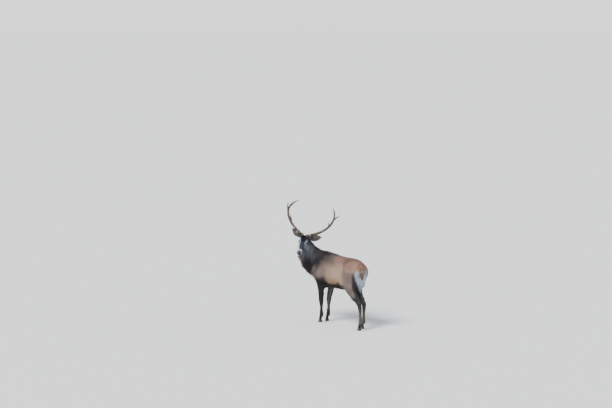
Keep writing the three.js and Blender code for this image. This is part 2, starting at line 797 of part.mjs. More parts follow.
const finish = (color, roughness) => new THREE.MeshStandardMaterial({ color, roughness, metalness: 0 });
const MATERIALS = {
  coat: finish(0x8a6248, 0.9),
  mane: finish(0x564a44, 0.95),
  face: finish(0x5d5654, 0.9),
  ear: finish(0x6b5f58, 0.9),
  tail: finish(0x8c5a36, 0.9),
  leg: finish(0x4a4040, 0.85),
  eye: finish(0x120c08, 0.05),
  antler: finish(0x6b5543, 0.6),
  tine: finish(0xb9ab92, 0.45),
  hoof: finish(0x221e1c, 0.4),
};

const stag = new THREE.Group();

function add(name, solid, material) {
  const { numProp, vertProperties, triVerts } = solid.getMesh();
  const positions = new Float32Array((vertProperties.length / numProp) * 3);
  for (let i = 0; i * 3 < positions.length; i++)
    positions.set(vertProperties.subarray(i * numProp, i * numProp + 3), i * 3);
  const geometry = new THREE.BufferGeometry();
  geometry.setAttribute("position", new THREE.BufferAttribute(positions, 3));
  geometry.setIndex(new THREE.BufferAttribute(triVerts, 1));
  const mesh = new THREE.Mesh(geometry, MATERIALS[material]);
  mesh.name = name;
  stag.add(mesh);
}

// The box between two corners given as [forward, left, up].
function boxOf(a, b) {
  const box = new THREE.Box3().setFromPoints([at(...a), at(...b)]);
  return [box.min.toArray(), box.max.toArray()];
}

// Trunk, neck and tail.
const trunkBox = boxOf([-730, -300, 560], [820, 300, 1340]);
const legBlocks = ["left", "right"].flatMap((side) => [
  legBlock(forelegCut(side), side, 660, 200),
  legBlock(hindlegCut(side), side, -195, -760),
]);
const trunkCell = [66, 76, 66];
const takeLegs = (solid) => legBlocks.reduce((left, block) => left.subtract(block), solid);
const trunkMesh = solidOf(flesh, ...trunkBox, trunkCell);
add("trunk", takeLegs(trim(trunkMesh, flip(neckCut))), "coat");

const neckBox = boxOf([230, -260, 690], [1010, 420, 1580]);
const neckMesh = trim(solidOf(flesh, ...neckBox, [62, 62, 62]), neckCut);

const tailSolid = solidOf(tailField, ...boxOf([-740, -62, 850], [-540, 92, 1150]), [24, 24, 36]);
add("tail", largest(tailSolid.subtract(swollen(trunkMesh, flesh, 2 * GAP))), "tail");

// The biggest body of a solid that a cut has left in pieces.
function largest(solid) {
  return solid.decompose().reduce((best, body) => (body.volume() > best.volume() ? body : best));
}

// The head is a body of its own, seated in the neck. The ears and the eyes are seated in the head.
const headMiddle = inHead(190, 0, 0);
const headReach = 262;
const headLow = headMiddle.clone().subScalar(headReach).toArray();
const headHigh = headMiddle.clone().addScalar(headReach).toArray();
let head = solidOf(headField, headLow, headHigh, [25, 25, 25]);
const headSeat = swollen(head, headField, 2 * GAP);
add("neck", largest(takeLegs(neckMesh).subtract(headSeat)), "mane");
const earSeat = headSeat.add(swollen(neckMesh, flesh, 2 * GAP));
for (const side of ["left", "right"]) {
  const eye = eyeSolid(side);
  head = trim(head, flip(pedicleCut(SIDES[side]))).subtract(eyeSolid(side, GAP));
  add(`eye_${side}`, eye, "eye");
  add(`ear_${side}`, largest(earSolid(side).subtract(earSeat)), "ear");
}
add("head", largest(head), "face");

// Antlers.
for (const side of ["left", "right"])
  for (const [name, solid] of Object.entries(antlerSolids(side)))
    add(`antler_${side}_${name}`, largest(solid), name.startsWith("beam") ? "antler" : "tine");

// Legs and feet.
const LEGS = {
  fore: { cut: forelegCut, joint: kneeCut, reach: [250, 560] },
  hind: { cut: hindlegCut, joint: hockCut, reach: [-780, -215] },
};
for (const [end, { cut, joint, reach }] of Object.entries(LEGS))
  for (const side of ["left", "right"]) {
    const s = SIDES[side];
    const frame = footFrame(end, side);
    const box = (low, high) => boxOf([reach[0], s * 4, low], [reach[1], s * 260, high]);
    const upperMesh = solidOf(flesh, ...box(250, 950), [38, 38, 57]);
    add(`${end}leg_${side}_upper`, largest(trim(upperMesh, cut(side), joint)), "leg");
    const lowerMesh = solidOf(flesh, ...box(20, 500), [19, 20, 50]);
    let lower = trim(lowerMesh, flip(joint), coronetCut(frame));
    for (const [place, claw] of [["outer", s], ["inner", -s]]) {
      lower = lower.subtract(dewclawSolid(end, side, claw, GAP));
      add(`hoof_${end}_${side}_${place}`, largest(clawSolid(frame, claw)), "hoof");
      add(`dewclaw_${end}_${side}_${place}`, dewclawSolid(end, side, claw), "hoof");
    }
    add(`${end}leg_${side}_lower`, largest(lower), "leg");
  }

// The origin is on the ground under the middle of the figure.
const bounds = new THREE.Box3().setFromObject(stag);
const middle = bounds.getCenter(new THREE.Vector3());
stag.position.set(-middle.x, -middle.y, -bounds.min.z);

export default stag;
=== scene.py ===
"""A life-size red deer stag: one skin, a coat of solid tufts, antlers, eyes and hooves, in a studio."""

import math

import bmesh
import bpy
import numpy as np
from mathutils import Matrix, Vector
from mathutils.bvhtree import BVHTree
from mathutils.kdtree import KDTree


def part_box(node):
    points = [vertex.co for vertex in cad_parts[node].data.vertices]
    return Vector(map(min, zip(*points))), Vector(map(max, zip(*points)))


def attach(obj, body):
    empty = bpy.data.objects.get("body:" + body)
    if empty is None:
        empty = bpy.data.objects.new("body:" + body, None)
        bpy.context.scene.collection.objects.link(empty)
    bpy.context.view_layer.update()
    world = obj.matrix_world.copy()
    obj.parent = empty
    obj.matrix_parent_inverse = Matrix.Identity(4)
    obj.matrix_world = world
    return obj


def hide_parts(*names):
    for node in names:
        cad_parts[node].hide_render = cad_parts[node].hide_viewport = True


bl_info = {
    "name": "Red deer stag",
    "version": (1, 0, 0),
    "blender": (4, 5, 0),
    "location": "View3D > Sidebar > Stag",
    "description": "Skin, coat, antlers, eyes and hooves of a standing red deer stag",
    "category": "Object",
}

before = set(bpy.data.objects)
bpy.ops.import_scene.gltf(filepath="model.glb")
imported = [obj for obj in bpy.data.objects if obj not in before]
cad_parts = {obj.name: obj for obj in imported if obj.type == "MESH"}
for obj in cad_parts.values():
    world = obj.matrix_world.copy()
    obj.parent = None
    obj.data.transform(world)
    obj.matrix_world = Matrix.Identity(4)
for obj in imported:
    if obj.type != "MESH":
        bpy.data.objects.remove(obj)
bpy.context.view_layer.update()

SIDES = {"left": 1, "right": -1}
LEGS = [f"{end}leg_{side}" for end in ("fore", "hind") for side in SIDES]
FLESH = ["trunk", "neck", "tail", "head", "ear_left", "ear_right"]
FLESH += [f"{leg}_{part}" for leg in LEGS for part in ("upper", "lower")]
# What the skin is first drawn over: the flesh, and the eyes, which fill their sockets.
UNDER_SKIN = FLESH + ["eye_left", "eye_right"]
# The kinds of coat that share a lie, a depth and a length.
REGIONS = ("trunk", "neck", "tail", "head", "ear", "forearm", "gaskin", "shank")


def region_of(node):
    """The region that a CAD node's coat belongs to."""
    if node.endswith("leg_left_lower") or node.endswith("leg_right_lower"):
        return "shank"
    for start, region in (("ear", "ear"), ("eye", "head"), ("fore", "forearm"), ("hind", "gaskin")):
        if node.startswith(start):
            return region
    return node


# ---------------------------------------------------------------- small maths on arrays


def smoothstep(value, low, high):
    """0 below low, 1 above high and smooth between, also where high is the lower of the two."""
    t = np.clip((value - low) / (high - low), 0, 1)
    return t * t * (3 - 2 * t)


def mix(a, b, share):
    """a where share is 0 and b where it is 1, for numbers or for rows of numbers."""
    share = np.asarray(share)
    if share.ndim and max(np.ndim(a), np.ndim(b)) > share.ndim:
        share = share[:, None]
    return a + (b - a) * share


def unit(rows):
    """Rows of unit length."""
    return rows / np.maximum(np.linalg.norm(rows, axis=-1, keepdims=True), 1e-9)


def bump(value, middle, reach):
    """1 at the middle, falling smoothly to 0 at a distance of about twice the reach."""
    return np.exp(-(((value - middle) / reach) ** 2))


# ---------------------------------------------------------------- the stag's own places

TRUNK_LOW, TRUNK_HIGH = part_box("trunk")
MIDDLE_X = (TRUNK_LOW.x + TRUNK_HIGH.x) / 2
TRUNK_BACK = 0.681  # from the shoulders' middle to the back of the rump
SHOULDER_Y = TRUNK_HIGH.y - TRUNK_BACK

HEAD_TURN, HEAD_DROP, HEAD_ROLL = (math.radians(angle) for angle in (134, 33, 12.5))
# Places on the head: along it, out and up, from the poll.
EYE_PLACE = (0.134, 0.066, 0.028)
EAR_ROOT = (-0.014, 0.06, 0.014)
ANTLER_BASE = (0.036, 0.052, 0.111)
HEAD_MIDDLE = (0.19, 0.0, 0.02)
EYE_RADIUS = 0.018
EYE_BULGE = 0.0012
IRIS_RADIUS = 0.0135
PUPIL_HALF = (0.0092, 0.0048)  # half the length and half the height of the level pupil


def body_place(points):
    """Forward, left and up of points, from the ground under the shoulders."""
    return SHOULDER_Y - points[:, 1], points[:, 0] - MIDDLE_X, points[:, 2]


def from_body(forward, left, up):
    """A direction or a step given as forward, left and up, in the model's own axes."""
    return np.array([left, -forward, up], float)


def box_middle(node):
    """The middle of a CAD node's box."""
    low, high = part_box(node)
    return (low + high) / 2


def head_frame():
    """The poll, and the head's directions: along it to the nose, to its left, and up."""
    turn = Matrix.Rotation(HEAD_TURN, 3, "Z")
    turn = turn @ Matrix.Rotation(HEAD_ROLL, 3, "Y") @ Matrix.Rotation(HEAD_DROP, 3, "X")
    axes = np.array([turn @ Vector(v) for v in ((0, -1, 0), (1, 0, 0), (0, 0, 1))])
    eyes = np.array((box_middle("eye_left") + box_middle("eye_right")) / 2)
    return eyes - EYE_PLACE[0] * axes[0] - EYE_PLACE[2] * axes[2], axes


POLL, HEAD_AXES = head_frame()


def head_place(points):
    """Along, left and up of points in the head's own frame."""
    return ((points - POLL) @ HEAD_AXES.T).T


def from_head(along, left, up):
    """A place in the head's frame, in the model's own axes."""
    return POLL + np.array([along, left, up]) @ HEAD_AXES


def beside_head(place, side):
    """A place given along, out and up, on one side of the head, in the model's own axes."""
    along, out, up = place
    return from_head(along, SIDES[side] * out, up)


# ---------------------------------------------------------------- meshes as arrays


def points_of(mesh):
    """The places of a mesh's vertices, as rows."""
    points = np.empty(len(mesh.vertices) * 3, np.float32)
    mesh.vertices.foreach_get("co", points)
    return points.reshape(-1, 3).astype(float)


def normals_of(mesh):
    """The directions that a mesh's vertices face, as rows."""
    normals = np.empty(len(mesh.vertices) * 3, np.float32)
    mesh.vertex_normals.foreach_get("vector", normals)
    return normals.reshape(-1, 3).astype(float)


def edges_of(mesh):
    """The two vertices of each edge, as rows."""
    edges = np.empty(len(mesh.edges) * 2, np.int32)
    mesh.edges.foreach_get("vertices", edges)
    return edges.reshape(-1, 2)


def triangles_of(mesh):
    """Corner vertices and corner loops of a mesh's triangles."""
    mesh.calc_loop_triangles()
    count = len(mesh.loop_triangles)
    corners, loops = np.empty(count * 3, np.int32), np.empty(count * 3, np.int32)
    mesh.loop_triangles.foreach_get("vertices", corners)
    mesh.loop_triangles.foreach_get("loops", loops)
    return corners.reshape(-1, 3), loops.reshape(-1, 3)


def set_points(mesh, points):
    """Moves a mesh's vertices."""
    mesh.vertices.foreach_set("co", points.astype(np.float32).ravel())
    mesh.update()


def neighbour_mean(values, edges, degree):
    """The mean of each row's neighbours along the edges."""
    count = len(values)
    a, b = edges.T
    mean = np.empty_like(values)
    for k in range(values.shape[1]):
        column = values[:, k]
        mean[:, k] = np.bincount(a, column[b], count) + np.bincount(b, column[a], count)
    return mean / degree


def soften(values, edges, rounds, weight=0.5, keep=0.0):
    """Values smoothed over a mesh. Where keep is 1, each second round swells what the last one shrank."""
    degree = np.maximum(np.bincount(edges.ravel(), minlength=len(values)), 1)[:, None]
    weight = np.broadcast_to(np.asarray(weight, float), len(values))[:, None]
    keep = np.broadcast_to(np.asarray(keep, float), len(values))[:, None]
    values = values.copy()
    for turn in range(rounds):
        push = weight if turn % 2 == 0 else weight * (1 - 2.04 * keep)
        values += push * (neighbour_mean(values, edges, degree) - values)
    return values


def noise_field(edges, count, rounds, seed):
    """Random numbers over a mesh, smoothed by so many rounds, with a mean of 0 and a spread of 1."""
    values = np.random.default_rng(seed).normal(size=(count, 1))
    values = soften(values, edges, rounds, 0.9)[:, 0]
    return (values - values.mean()) / values.std()


# The kinds of attribute by how many numbers each value has: its data type, and the field it is in.
KINDS = {1: ("FLOAT", "value"), 3: ("FLOAT_VECTOR", "vector"), 4: ("FLOAT_COLOR", "color")}


def store(mesh, name, values):
    """Keeps one number, direction or colour for each vertex as a named attribute."""
    values = np.asarray(values, np.float32)
    data_type, field = KINDS[values.shape[1] if values.ndim > 1 else 1]
    attribute = mesh.attributes.get(name) or mesh.attributes.new(name, data_type, "POINT")
    attribute.data.foreach_set(field, values.ravel())


def recall(mesh, name):
    """The values that store() kept."""
    attribute = mesh.attributes[name]
    kinds = {data_type: (size, field) for size, (data_type, field) in KINDS.items()}
    size, field = kinds[attribute.data_type]
    values = np.empty(len(mesh.vertices) * size, np.float32)
    attribute.data.foreach_get(field, values)
    return values.reshape(-1, size).astype(float) if size > 1 else values.astype(float)


def show(name, mesh, material):
    """A new object in the scene, with one material and smooth shading."""
    piece = bpy.data.objects.new(name, mesh)
    bpy.context.scene.collection.objects.link(piece)
    mesh.materials.clear()
    mesh.materials.append(material)
    mesh.polygons.foreach_set("use_smooth", np.ones(len(mesh.polygons), bool))
    return piece


def shaped(mesh, *modifiers, plain=None):
    """A mesh after modifiers, each given as its type and its settings.

    plain is a share for each vertex, from 0 to 1, that a modifier may read as the group of that name.
    """
    carrier = bpy.data.objects.new("carrier", mesh)
    if plain is not None:
        group = carrier.vertex_groups.new(name="plain")
        levels = np.round(plain * 10).astype(int)
        for level in np.unique(levels):
            group.add(np.flatnonzero(levels == level).tolist(), level / 10, "REPLACE")
    bpy.context.scene.collection.objects.link(carrier)
    for kind, settings in modifiers:
        modifier = carrier.modifiers.new(kind.lower(), kind)
        for name, value in settings.items():
            setattr(modifier, name, value)
    graph = bpy.context.evaluated_depsgraph_get()
    made = bpy.data.meshes.new_from_object(carrier.evaluated_get(graph))
    bpy.data.objects.remove(carrier)
    return made


def node_copy(name):
    """A CAD node's shape as a bmesh whose triangles share their corners."""
    copy = bmesh.new()
    copy.from_mesh(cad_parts[name].data)
    bmesh.ops.remove_doubles(copy, verts=copy.verts, dist=1e-5)
    copy.normal_update()
    return copy


def joined(names, swell):
    """One mesh of CAD nodes, each swollen a little, so that the cuts between them close."""
    whole = bmesh.new()
    for name in names:
        part = node_copy(name)
        for vert in part.verts:
            vert.co += vert.normal * swell
        loose = bpy.data.meshes.new(name)
        part.to_mesh(loose)
        part.free()
        whole.from_mesh(loose)
        bpy.data.meshes.remove(loose)
    mesh = bpy.data.meshes.new("joined")
    whole.to_mesh(mesh)
    whole.free()
    return mesh


# ---------------------------------------------------------------- materials


class Wire:
    """A socket of a material's nodes, so that shader maths reads as an expression."""

    def __init__(self, sheet, socket):
        self.sheet = sheet
        self.socket = socket

    def maths(self, operation, *values):
        return self.sheet.node("ShaderNodeMath", {"operation": operation}, *values)

    def __add__(self, other):
        return self.maths("ADD", self, other)

    def __mul__(self, other):
        return self.maths("MULTIPLY", self, other)

    def __sub__(self, other):
        return self.maths("SUBTRACT", self, other)

    def __rsub__(self, other):
        return self.maths("SUBTRACT", other, self)

    def __pow__(self, other):
        return self.maths("POWER", self, other)

    __radd__ = __add__
    __rmul__ = __mul__


class Sheet:
    """A material and its nodes."""

    def __init__(self, name):
        self.material = bpy.data.materials.new(name)
        self.material.use_nodes = True
        self.tree = self.material.node_tree
        self.tree.nodes.clear()

    def node(self, kind, settings, *values, out=0, at=None, **named):
        """Adds a node: its settings first, then its sockets in order, by name, and by number in at."""
        node = self.tree.nodes.new(kind)
        for name, value in settings.items():
            if name == "stops":
                self.set_stops(node.color_ramp, value)
            else:
                setattr(node, name, value)
        inputs = [*enumerate(values), *((name.replace("_", " "), v) for name, v in named.items())]
        for key, value in [*inputs, *(at or {}).items()]:
            if isinstance(value, Wire):
                self.tree.links.new(value.socket, node.inputs[key])
            else:
                node.inputs[key].default_value = value
        return Wire(self, node.outputs[out])

    def set_stops(self, ramp, stops):
        while len(ramp.elements) < len(stops):
            ramp.elements.new(0.5)
        for element, (position, value) in zip(ramp.elements, stops):
            element.position = position
            element.color = (value, value, value, 1)

    def place(self):
        """Where a point lies on the stag."""
        return self.node("ShaderNodeTexCoord", {}, out="Object")

    def attribute(self, name, out="Fac"):
        return self.node("ShaderNodeAttribute", {"attribute_name": name}, out=out)

    def noise(self, scale, detail=3.0, where=None):
        """Cloudy variation, finer where the scale is larger."""
        where = where or self.place()
        return self.node("ShaderNodeTexNoise", {}, Vector=where, Scale=scale, Detail=detail, Roughness=0.5)

    def pebbles(self, scale, smoothness):
        """Round cells: 0 in the middle of each, and higher towards its edge."""
        cells = {"feature": "SMOOTH_F1"}
        return self.node(
            "ShaderNodeTexVoronoi", cells, Vector=self.place(), Scale=scale, Smoothness=smoothness
        )

    def stretched(self, factors):
        """Places on the stag, scaled along each axis, so that a pattern read there is drawn out."""
        return self.node("ShaderNodeMapping", {}, Vector=self.place(), Scale=factors)

    def ramp(self, value, *stops):
        """A value looked up between stops, each a position and a shade of grey."""
        return self.node("ShaderNodeValToRGB", {"stops": stops}, value)

    def blend(self, share, a, b, how="MIX"):
        """A mix of two colours, by a share from 0 to 1."""
        settings = {"data_type": "RGBA", "blend_type": how}
        return self.node("ShaderNodeMix", settings, out=2, at={0: share, 6: a, 7: b})

    def relief(self, height, depth, strength=1.0):
        """A bump: a height from 0 to 1 that stands for a real depth in metres."""
        return self.node(
            "ShaderNodeBump", {}, Height=height, Distance=depth, Strength=strength, out="Normal"
        )

    def finish(self, **sockets):
        """The surface itself, from the values and wires of a Principled shader's sockets."""
        shader = self.node("ShaderNodeBsdfPrincipled", {}, **sockets)
        output = self.tree.nodes.new("ShaderNodeOutputMaterial")
        self.tree.links.new(shader.socket, output.inputs["Surface"])
        return self.material


def opaque(colour):
    """A colour as a colour socket takes it."""
    return (*colour, 1.0)


def fur_material(name, roughness, sheen):
    """Hair: the marking's colour, darker at the root as painted shade deep in the coat and lighter at the
    tip, streaked lock by lock.
    """
    sheet = Sheet(name)
    reach = sheet.attribute("reach")
    # Painted shade and light of the coat's depth: each tuft darker towards its root and lighter at its
    # tip.
    shade = sheet.ramp(reach, (0.0, 0.42), (0.35, 0.86), (1.0, 1.22))
    streak = sheet.ramp(sheet.noise(260.0, 2.0), (0.3, 0.8), (0.7, 1.18))
    colour = sheet.blend(1.0, sheet.attribute("marking", "Color"), shade, "MULTIPLY")
    colour = sheet.blend(1.0, colour, streak, "MULTIPLY")
    return sheet.finish(
        Base_Color=colour,
        Roughness=roughness,
        Sheen_Weight=sheen,
        Sheen_Roughness=0.4,
        Specular_IOR_Level=0.15,
    )


def skin_material():
    """Skin under the coat: the same markings, fine hair as bump, and bare wet skin at the nose."""
    sheet = Sheet("skin")
    bare = sheet.attribute("bare")
    marking = sheet.attribute("marking", "Color")
    hair = sheet.noise(900.0, 2.0, sheet.stretched((1.0, 0.35, 0.5)))
    mottle = sheet.ramp(sheet.noise(38.0, 4.0), (0.3, 0.78), (0.7, 1.15))
    grain = sheet.ramp(hair, (0.3, 0.72), (0.7, 1.2))
    furry = sheet.blend(1.0, sheet.blend(1.0, marking, mottle, "MULTIPLY"), grain, "MULTIPLY")
    colour = sheet.blend(bare, furry, marking)
    cobbles = sheet.pebbles(420.0, 0.4)
    hair_height = hair * (1 - bare)
    pad_height = (1 - cobbles) * bare
    return sheet.finish(
        Base_Color=colour,
        Roughness=0.8 - 0.38 * bare,
        Specular_IOR_Level=0.35,
        Sheen_Weight=0.12,
        Normal=sheet.relief(hair_height + pad_height, 0.0008, 0.7),
    )


def antler_material(colours):
    """Pearled bone, stained brown and grooved, with rubbed ridges and ivory tips."""
    sheet = Sheet("antler")
    tip = sheet.attribute("tip")
    ridge = sheet.attribute("ridge")
    stain = sheet.noise(26.0, 5.0)
    fine = sheet.noise(240.0, 3.0)
    pearls = sheet.pebbles(190.0, 0.5)
    rough = (1 - tip) ** 2.0
    stained = sheet.ramp(stain, (0.35, 0.0), (0.65, 1.0))
    bone = sheet.blend(stained, opaque(colours.antler_dark), opaque(colours.antler))
    bone = sheet.blend(ridge * 0.75, bone, opaque(colours.antler_ridge))
    flecks = sheet.ramp(fine, (0.4, 0.0), (0.6, 1.0))
    ivory = sheet.blend(flecks, opaque(colours.antler_ridge), opaque(colours.ivory))
    polished = sheet.ramp(tip + stain * 0.3 - 0.15, (0.25, 0.0), (0.75, 1.0))
    colour = sheet.blend(polished, bone, ivory)
    height = (1 - pearls) * rough * 0.7 + fine * 0.3
    return sheet.finish(
        Base_Color=colour,
        Roughness=0.62 - 0.27 * tip,
        Specular_IOR_Level=0.45,
        Normal=sheet.relief(height, 0.0016, 0.8),
    )


def hoof_material(colours):
    """Dark horn with growth rings and fine upright streaks."""
    sheet = Sheet("hoof")
    rings = sheet.node(
        "ShaderNodeTexWave",
        {"bands_direction": "Z"},
        Vector=sheet.place(),
        Scale=46.0,
        Distortion=1.6,
        Detail=2.0,
        Detail_Scale=2.0,
    )
    streaks = sheet.noise(60.0, 3.0, sheet.stretched((9.0, 9.0, 0.8)))
    pale = sheet.ramp(streaks, (0.35, 0.0), (0.7, 1.0))
    colour = sheet.blend(pale, opaque(colours.horn), opaque(colours.horn_pale))
    return sheet.finish(
        Base_Color=colour,
        Roughness=0.34 + 0.2 * streaks,
        Normal=sheet.relief(rings * 0.6 + streaks * 0.4, 0.0009, 0.6),
    )


def eye_material(colours):
    """A dark brown eye with a wide level pupil, under a clear wet surface."""
    sheet = Sheet("eye")
    ring = sheet.attribute("iris")
    pupil = sheet.attribute("pupil")
    fibres = sheet.noise(700.0, 3.0)
    black = (0.002, 0.002, 0.003, 1)
    iris = sheet.blend(fibres, opaque(colours.iris), opaque(colours.iris_rim))
    colour = sheet.blend(sheet.ramp(ring, (0.72, 0.0), (0.9, 1.0)), iris, opaque(colours.eye_edge))
    colour = sheet.blend(sheet.ramp(pupil, (0.8, 1.0), (1.0, 0.0)), colour, black)
    return sheet.finish(
        Base_Color=colour,
        Roughness=0.10,
        Coat_Weight=0.12,
        Coat_Roughness=0.02,
        Specular_IOR_Level=0.22,
    )


def floor_material(colour):
    """Dull pale paper."""
    sheet = Sheet("studio_floor")
    return sheet.finish(Base_Color=opaque(colour), Roughness=0.9, Specular_IOR_Level=0.1)


# ---------------------------------------------------------------- sizes and colours for the user


def length(name, text, value):
    """A length in metres."""
    return bpy.props.FloatProperty(
        name=name, description=text, default=value, min=0.0, subtype="DISTANCE", unit="LENGTH"
    )


def tint(name, text, value):
    """A colour."""
    return bpy.props.FloatVectorProperty(
        name=name, description=text, default=value, min=0.0, max=1.0, size=3, subtype="COLOR"
    )


def angle(name, text, degrees):
    """An angle, given in degrees."""
    return bpy.props.FloatProperty(
        name=name, description=text, default=math.radians(degrees), subtype="ANGLE"
    )


def strength(name, text, value):
    """The strength of a light."""
    return bpy.props.FloatProperty(name=name, description=text, default=value, min=0.0)


class StagSizes(bpy.types.PropertyGroup):
    """Sizes of the skin and the coat."""

    voxel: length("Voxel", "Size of the facets that the skin is first made from", 0.0036)
    trunk_depth: length("Trunk coat", "How deep the coat lies on the trunk", 0.011)
    crest_depth: length("Crest coat", "How deep the mane is along the top of the neck", 0.022)
    throat_depth: length("Throat coat", "How deep the mane is on the throat and the breast", 0.040)
    leg_depth: length("Leg coat", "How deep the coat lies on the upper legs", 0.005)
    shank_depth: length("Shank coat", "How deep the coat lies below knee and hock", 0.0022)
    face_depth: length("Face coat", "How deep the coat lies on the face", 0.003)
    lid: length("Eyelid", "Thickness of the eyelids", 0.0022)
    skin_faces: bpy.props.IntProperty(
        name="Skin faces",
        description="Triangles of the skin before the fine work",
        default=112000,
        min=20000,
    )


class StagColours(bpy.types.PropertyGroup):
    """Colours of the coat and of what is bare."""

    flank: tint("Flank", "Side of the trunk", (0.475, 0.325, 0.245))
    golden: tint("Lower flank", "Warm band above the belly", (0.42, 0.285, 0.155))
    back: tint("Back", "Along the spine", (0.44, 0.24, 0.197))
    croup: tint("Croup", "Top of the hindquarters", (0.375, 0.215, 0.165))
    saddle: tint("Saddle", "High on the side, behind the shoulder", (0.22, 0.165, 0.145))
    withers: tint("Withers", "Top of the shoulders", (0.225, 0.168, 0.155))
    shoulder: tint("Shoulder", "Shoulder and upper foreleg", (0.25, 0.185, 0.16))
    haunch: tint("Haunch", "Outside of the thigh", (0.25, 0.19, 0.165))
    # Painted shade, not a coat colour: the darker line along the crease in front of the haunch.
    groin: tint("Groin", "Warm edge of the flank", (0.27, 0.18, 0.12))
    elbow: tint("Elbow", "Elbow and breast", (0.016, 0.0155, 0.024))
    belly: tint("Belly", "Underside", (0.014, 0.011, 0.008))
    neck: tint("Neck", "Side of the neck", (0.064, 0.064, 0.072))
    neck_low: tint("Low neck", "Lower side of the neck", (0.037, 0.033, 0.035))
    jaw: tint("Jaw", "Paler patch behind the jaw", (0.13, 0.138, 0.153))
    crest: tint("Crest", "Top of the neck and the withers", (0.040, 0.033, 0.034))
    throat: tint("Throat", "Mane on the throat and the breast", (0.014, 0.012, 0.012))
    # Painted light: a brown edge on the side of the neck that faces the camera's left, where the key light
    # comes from, drawn as the lit edge of the dark mane.
    throat_front: tint("Throat front", "Worn brown edge of the mane", (0.14, 0.095, 0.062))
    leg: tint("Leg", "Upper legs", (0.020, 0.017, 0.019))
    leg_inside: tint("Leg inside", "Paler inner side of the forelegs", (0.15, 0.12, 0.11))
    gaskin: tint("Gaskin", "Outside of the hind leg above the hock", (0.16, 0.13, 0.105))
    hock: tint("Hock", "Hock", (0.035, 0.030, 0.034))
    shank: tint("Shank", "Below the hock", (0.145, 0.122, 0.095))
    shank_low: tint("Low shank", "Pale front of the hind cannon", (0.30, 0.235, 0.22))
    rump: tint("Rump patch", "Pale patch round the tail", (0.53, 0.59, 0.68))
    rump_edge: tint("Rump edge", "Dark stripe beside the pale patch", (0.043, 0.039, 0.041))
    tail: tint("Tail", "Tail", (0.31, 0.165, 0.10))
    face: tint("Face", "Cheek and jaw", (0.057, 0.060, 0.069))
    silver: tint("Eye patch", "Pale patch round the eye", (0.33, 0.36, 0.405))
    brow: tint("Brow", "Pale spot above the eye", (0.30, 0.31, 0.33))
    forehead: tint("Forehead", "Forehead and crown", (0.0075, 0.0075, 0.016))
    bridge: tint("Bridge", "Bridge of the nose", (0.034, 0.041, 0.056))
    muzzle: tint("Muzzle", "Pale ring round the nose", (0.46, 0.48, 0.525))
    nose: tint("Nose", "Bare wet nose pad", (0.012, 0.012, 0.018))
    chin: tint("Chin", "Under the lip", (0.05, 0.048, 0.05))
    ear: tint("Ear", "Back of the ear", (0.10, 0.09, 0.085))
    ear_rim: tint("Ear rim", "Dark edge of the ear", (0.020, 0.018, 0.020))
    ear_inside: tint("Ear inside", "Long hairs inside the ear", (0.23, 0.22, 0.21))
    ear_skin: tint("Ear skin", "Skin inside the ear", (0.045, 0.035, 0.035))
    antler: tint("Antler", "Stained bone", (0.060, 0.040, 0.032))
    antler_dark: tint("Antler hollows", "Bone in the grooves", (0.03, 0.02, 0.016))
    antler_ridge: tint("Antler ridges", "Rubbed bone", (0.165, 0.12, 0.085))
    ivory: tint("Tine tips", "Polished tips", (0.74, 0.68, 0.56))
    horn: tint("Hoof", "Hoof horn", (0.018, 0.015, 0.014))
    horn_pale: tint("Hoof streaks", "Paler streaks in the horn", (0.07, 0.056, 0.045))
    iris: tint("Iris", "Iris", (0.010, 0.006, 0.004))
    iris_rim: tint("Iris fibres", "Lighter fibres of the iris", (0.018, 0.010, 0.006))
    eye_edge: tint("Eye edge", "Edge of the eyeball", (0.012, 0.008, 0.007))


class StudioSettings(bpy.types.PropertyGroup):
    """The camera, the lights and the floor."""

    azimuth: angle("Azimuth", "Camera's turn round the stag", 142)
    elevation: angle("Elevation", "Camera's height above the horizon", 8)
    distance: length("Distance", "From the camera to the stag", 30.0)
    view_width: length("View width", "Width of what the camera sees at the stag", 10.66)
    aim_left: length("Aim left", "How far left of the shoulders the camera aims", 0.592)
    aim_up: length("Aim up", "How far above the ground the camera aims", 2.103)
    floor_size: length("Floor", "Width of the floor", 3000.0)
    floor: tint("Floor colour", "Pale studio floor", (0.80, 0.80, 0.79))
    key: strength("Key light", "Strength of the main light", 4.9)
    fill: strength("Fill light", "Strength of the surroundings", 1.55)


# ---------------------------------------------------------------- the skin


def rounding(points):
    """How strongly each point of the rough shell is rounded off, and how far it keeps its size."""
    forward, _, up = body_place(points)
    rise = head_place(points)[2]
    near_head = np.linalg.norm(points - from_head(*HEAD_MIDDLE), axis=1)
    head = smoothstep(near_head, 0.30, 0.20) * smoothstep(rise, -0.16, -0.11)
    shank = smoothstep(up, 0.46, 0.38)
    upper_leg = smoothstep(up, 0.70, 0.60)
    tail = smoothstep(forward, -0.63, -0.65) * smoothstep(up, 0.86, 0.89)
    ears = np.zeros(len(points))
    for name in SIDES:
        low, high = (np.array(corner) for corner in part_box(f"ear_{name}"))
        far = np.linalg.norm(np.maximum(np.maximum(low - points, points - high), 0), axis=1)
        ears = np.maximum(ears, smoothstep(far, 0.02, 0.0) * smoothstep(rise, -0.05, -0.02))
    small = np.clip(head + shank + ears, 0, 1)
    weight = mix(mix(0.9, 0.5, upper_leg), 0.16, np.clip(small + tail, 0, 1))
    return weight, small


def rough_shell(sizes):
    """The flesh as one closed skin of small even facets, rounded off."""
    voxels = {"mode": "VOXEL", "voxel_size": sizes.voxel, "adaptivity": 0.0}
    mesh = shaped(joined(UNDER_SKIN, 0.0009), ("REMESH", voxels))
    points = points_of(mesh)
    edges = edges_of(mesh)
    weight, keep = rounding(points)
    round_points = soften(points, edges, 90, weight, keep * 0.75)
    set_points(mesh, round_points)
    # Rounding off draws thin limbs in, so what they lost is given back, evenly.
    normals = unit(soften(normals_of(mesh), edges, 4, 0.9))
    lost = np.sum((points - round_points) * normals, axis=1, keepdims=True)
    set_points(mesh, round_points + normals * soften(lost, edges, 36, 0.9))
    return mesh


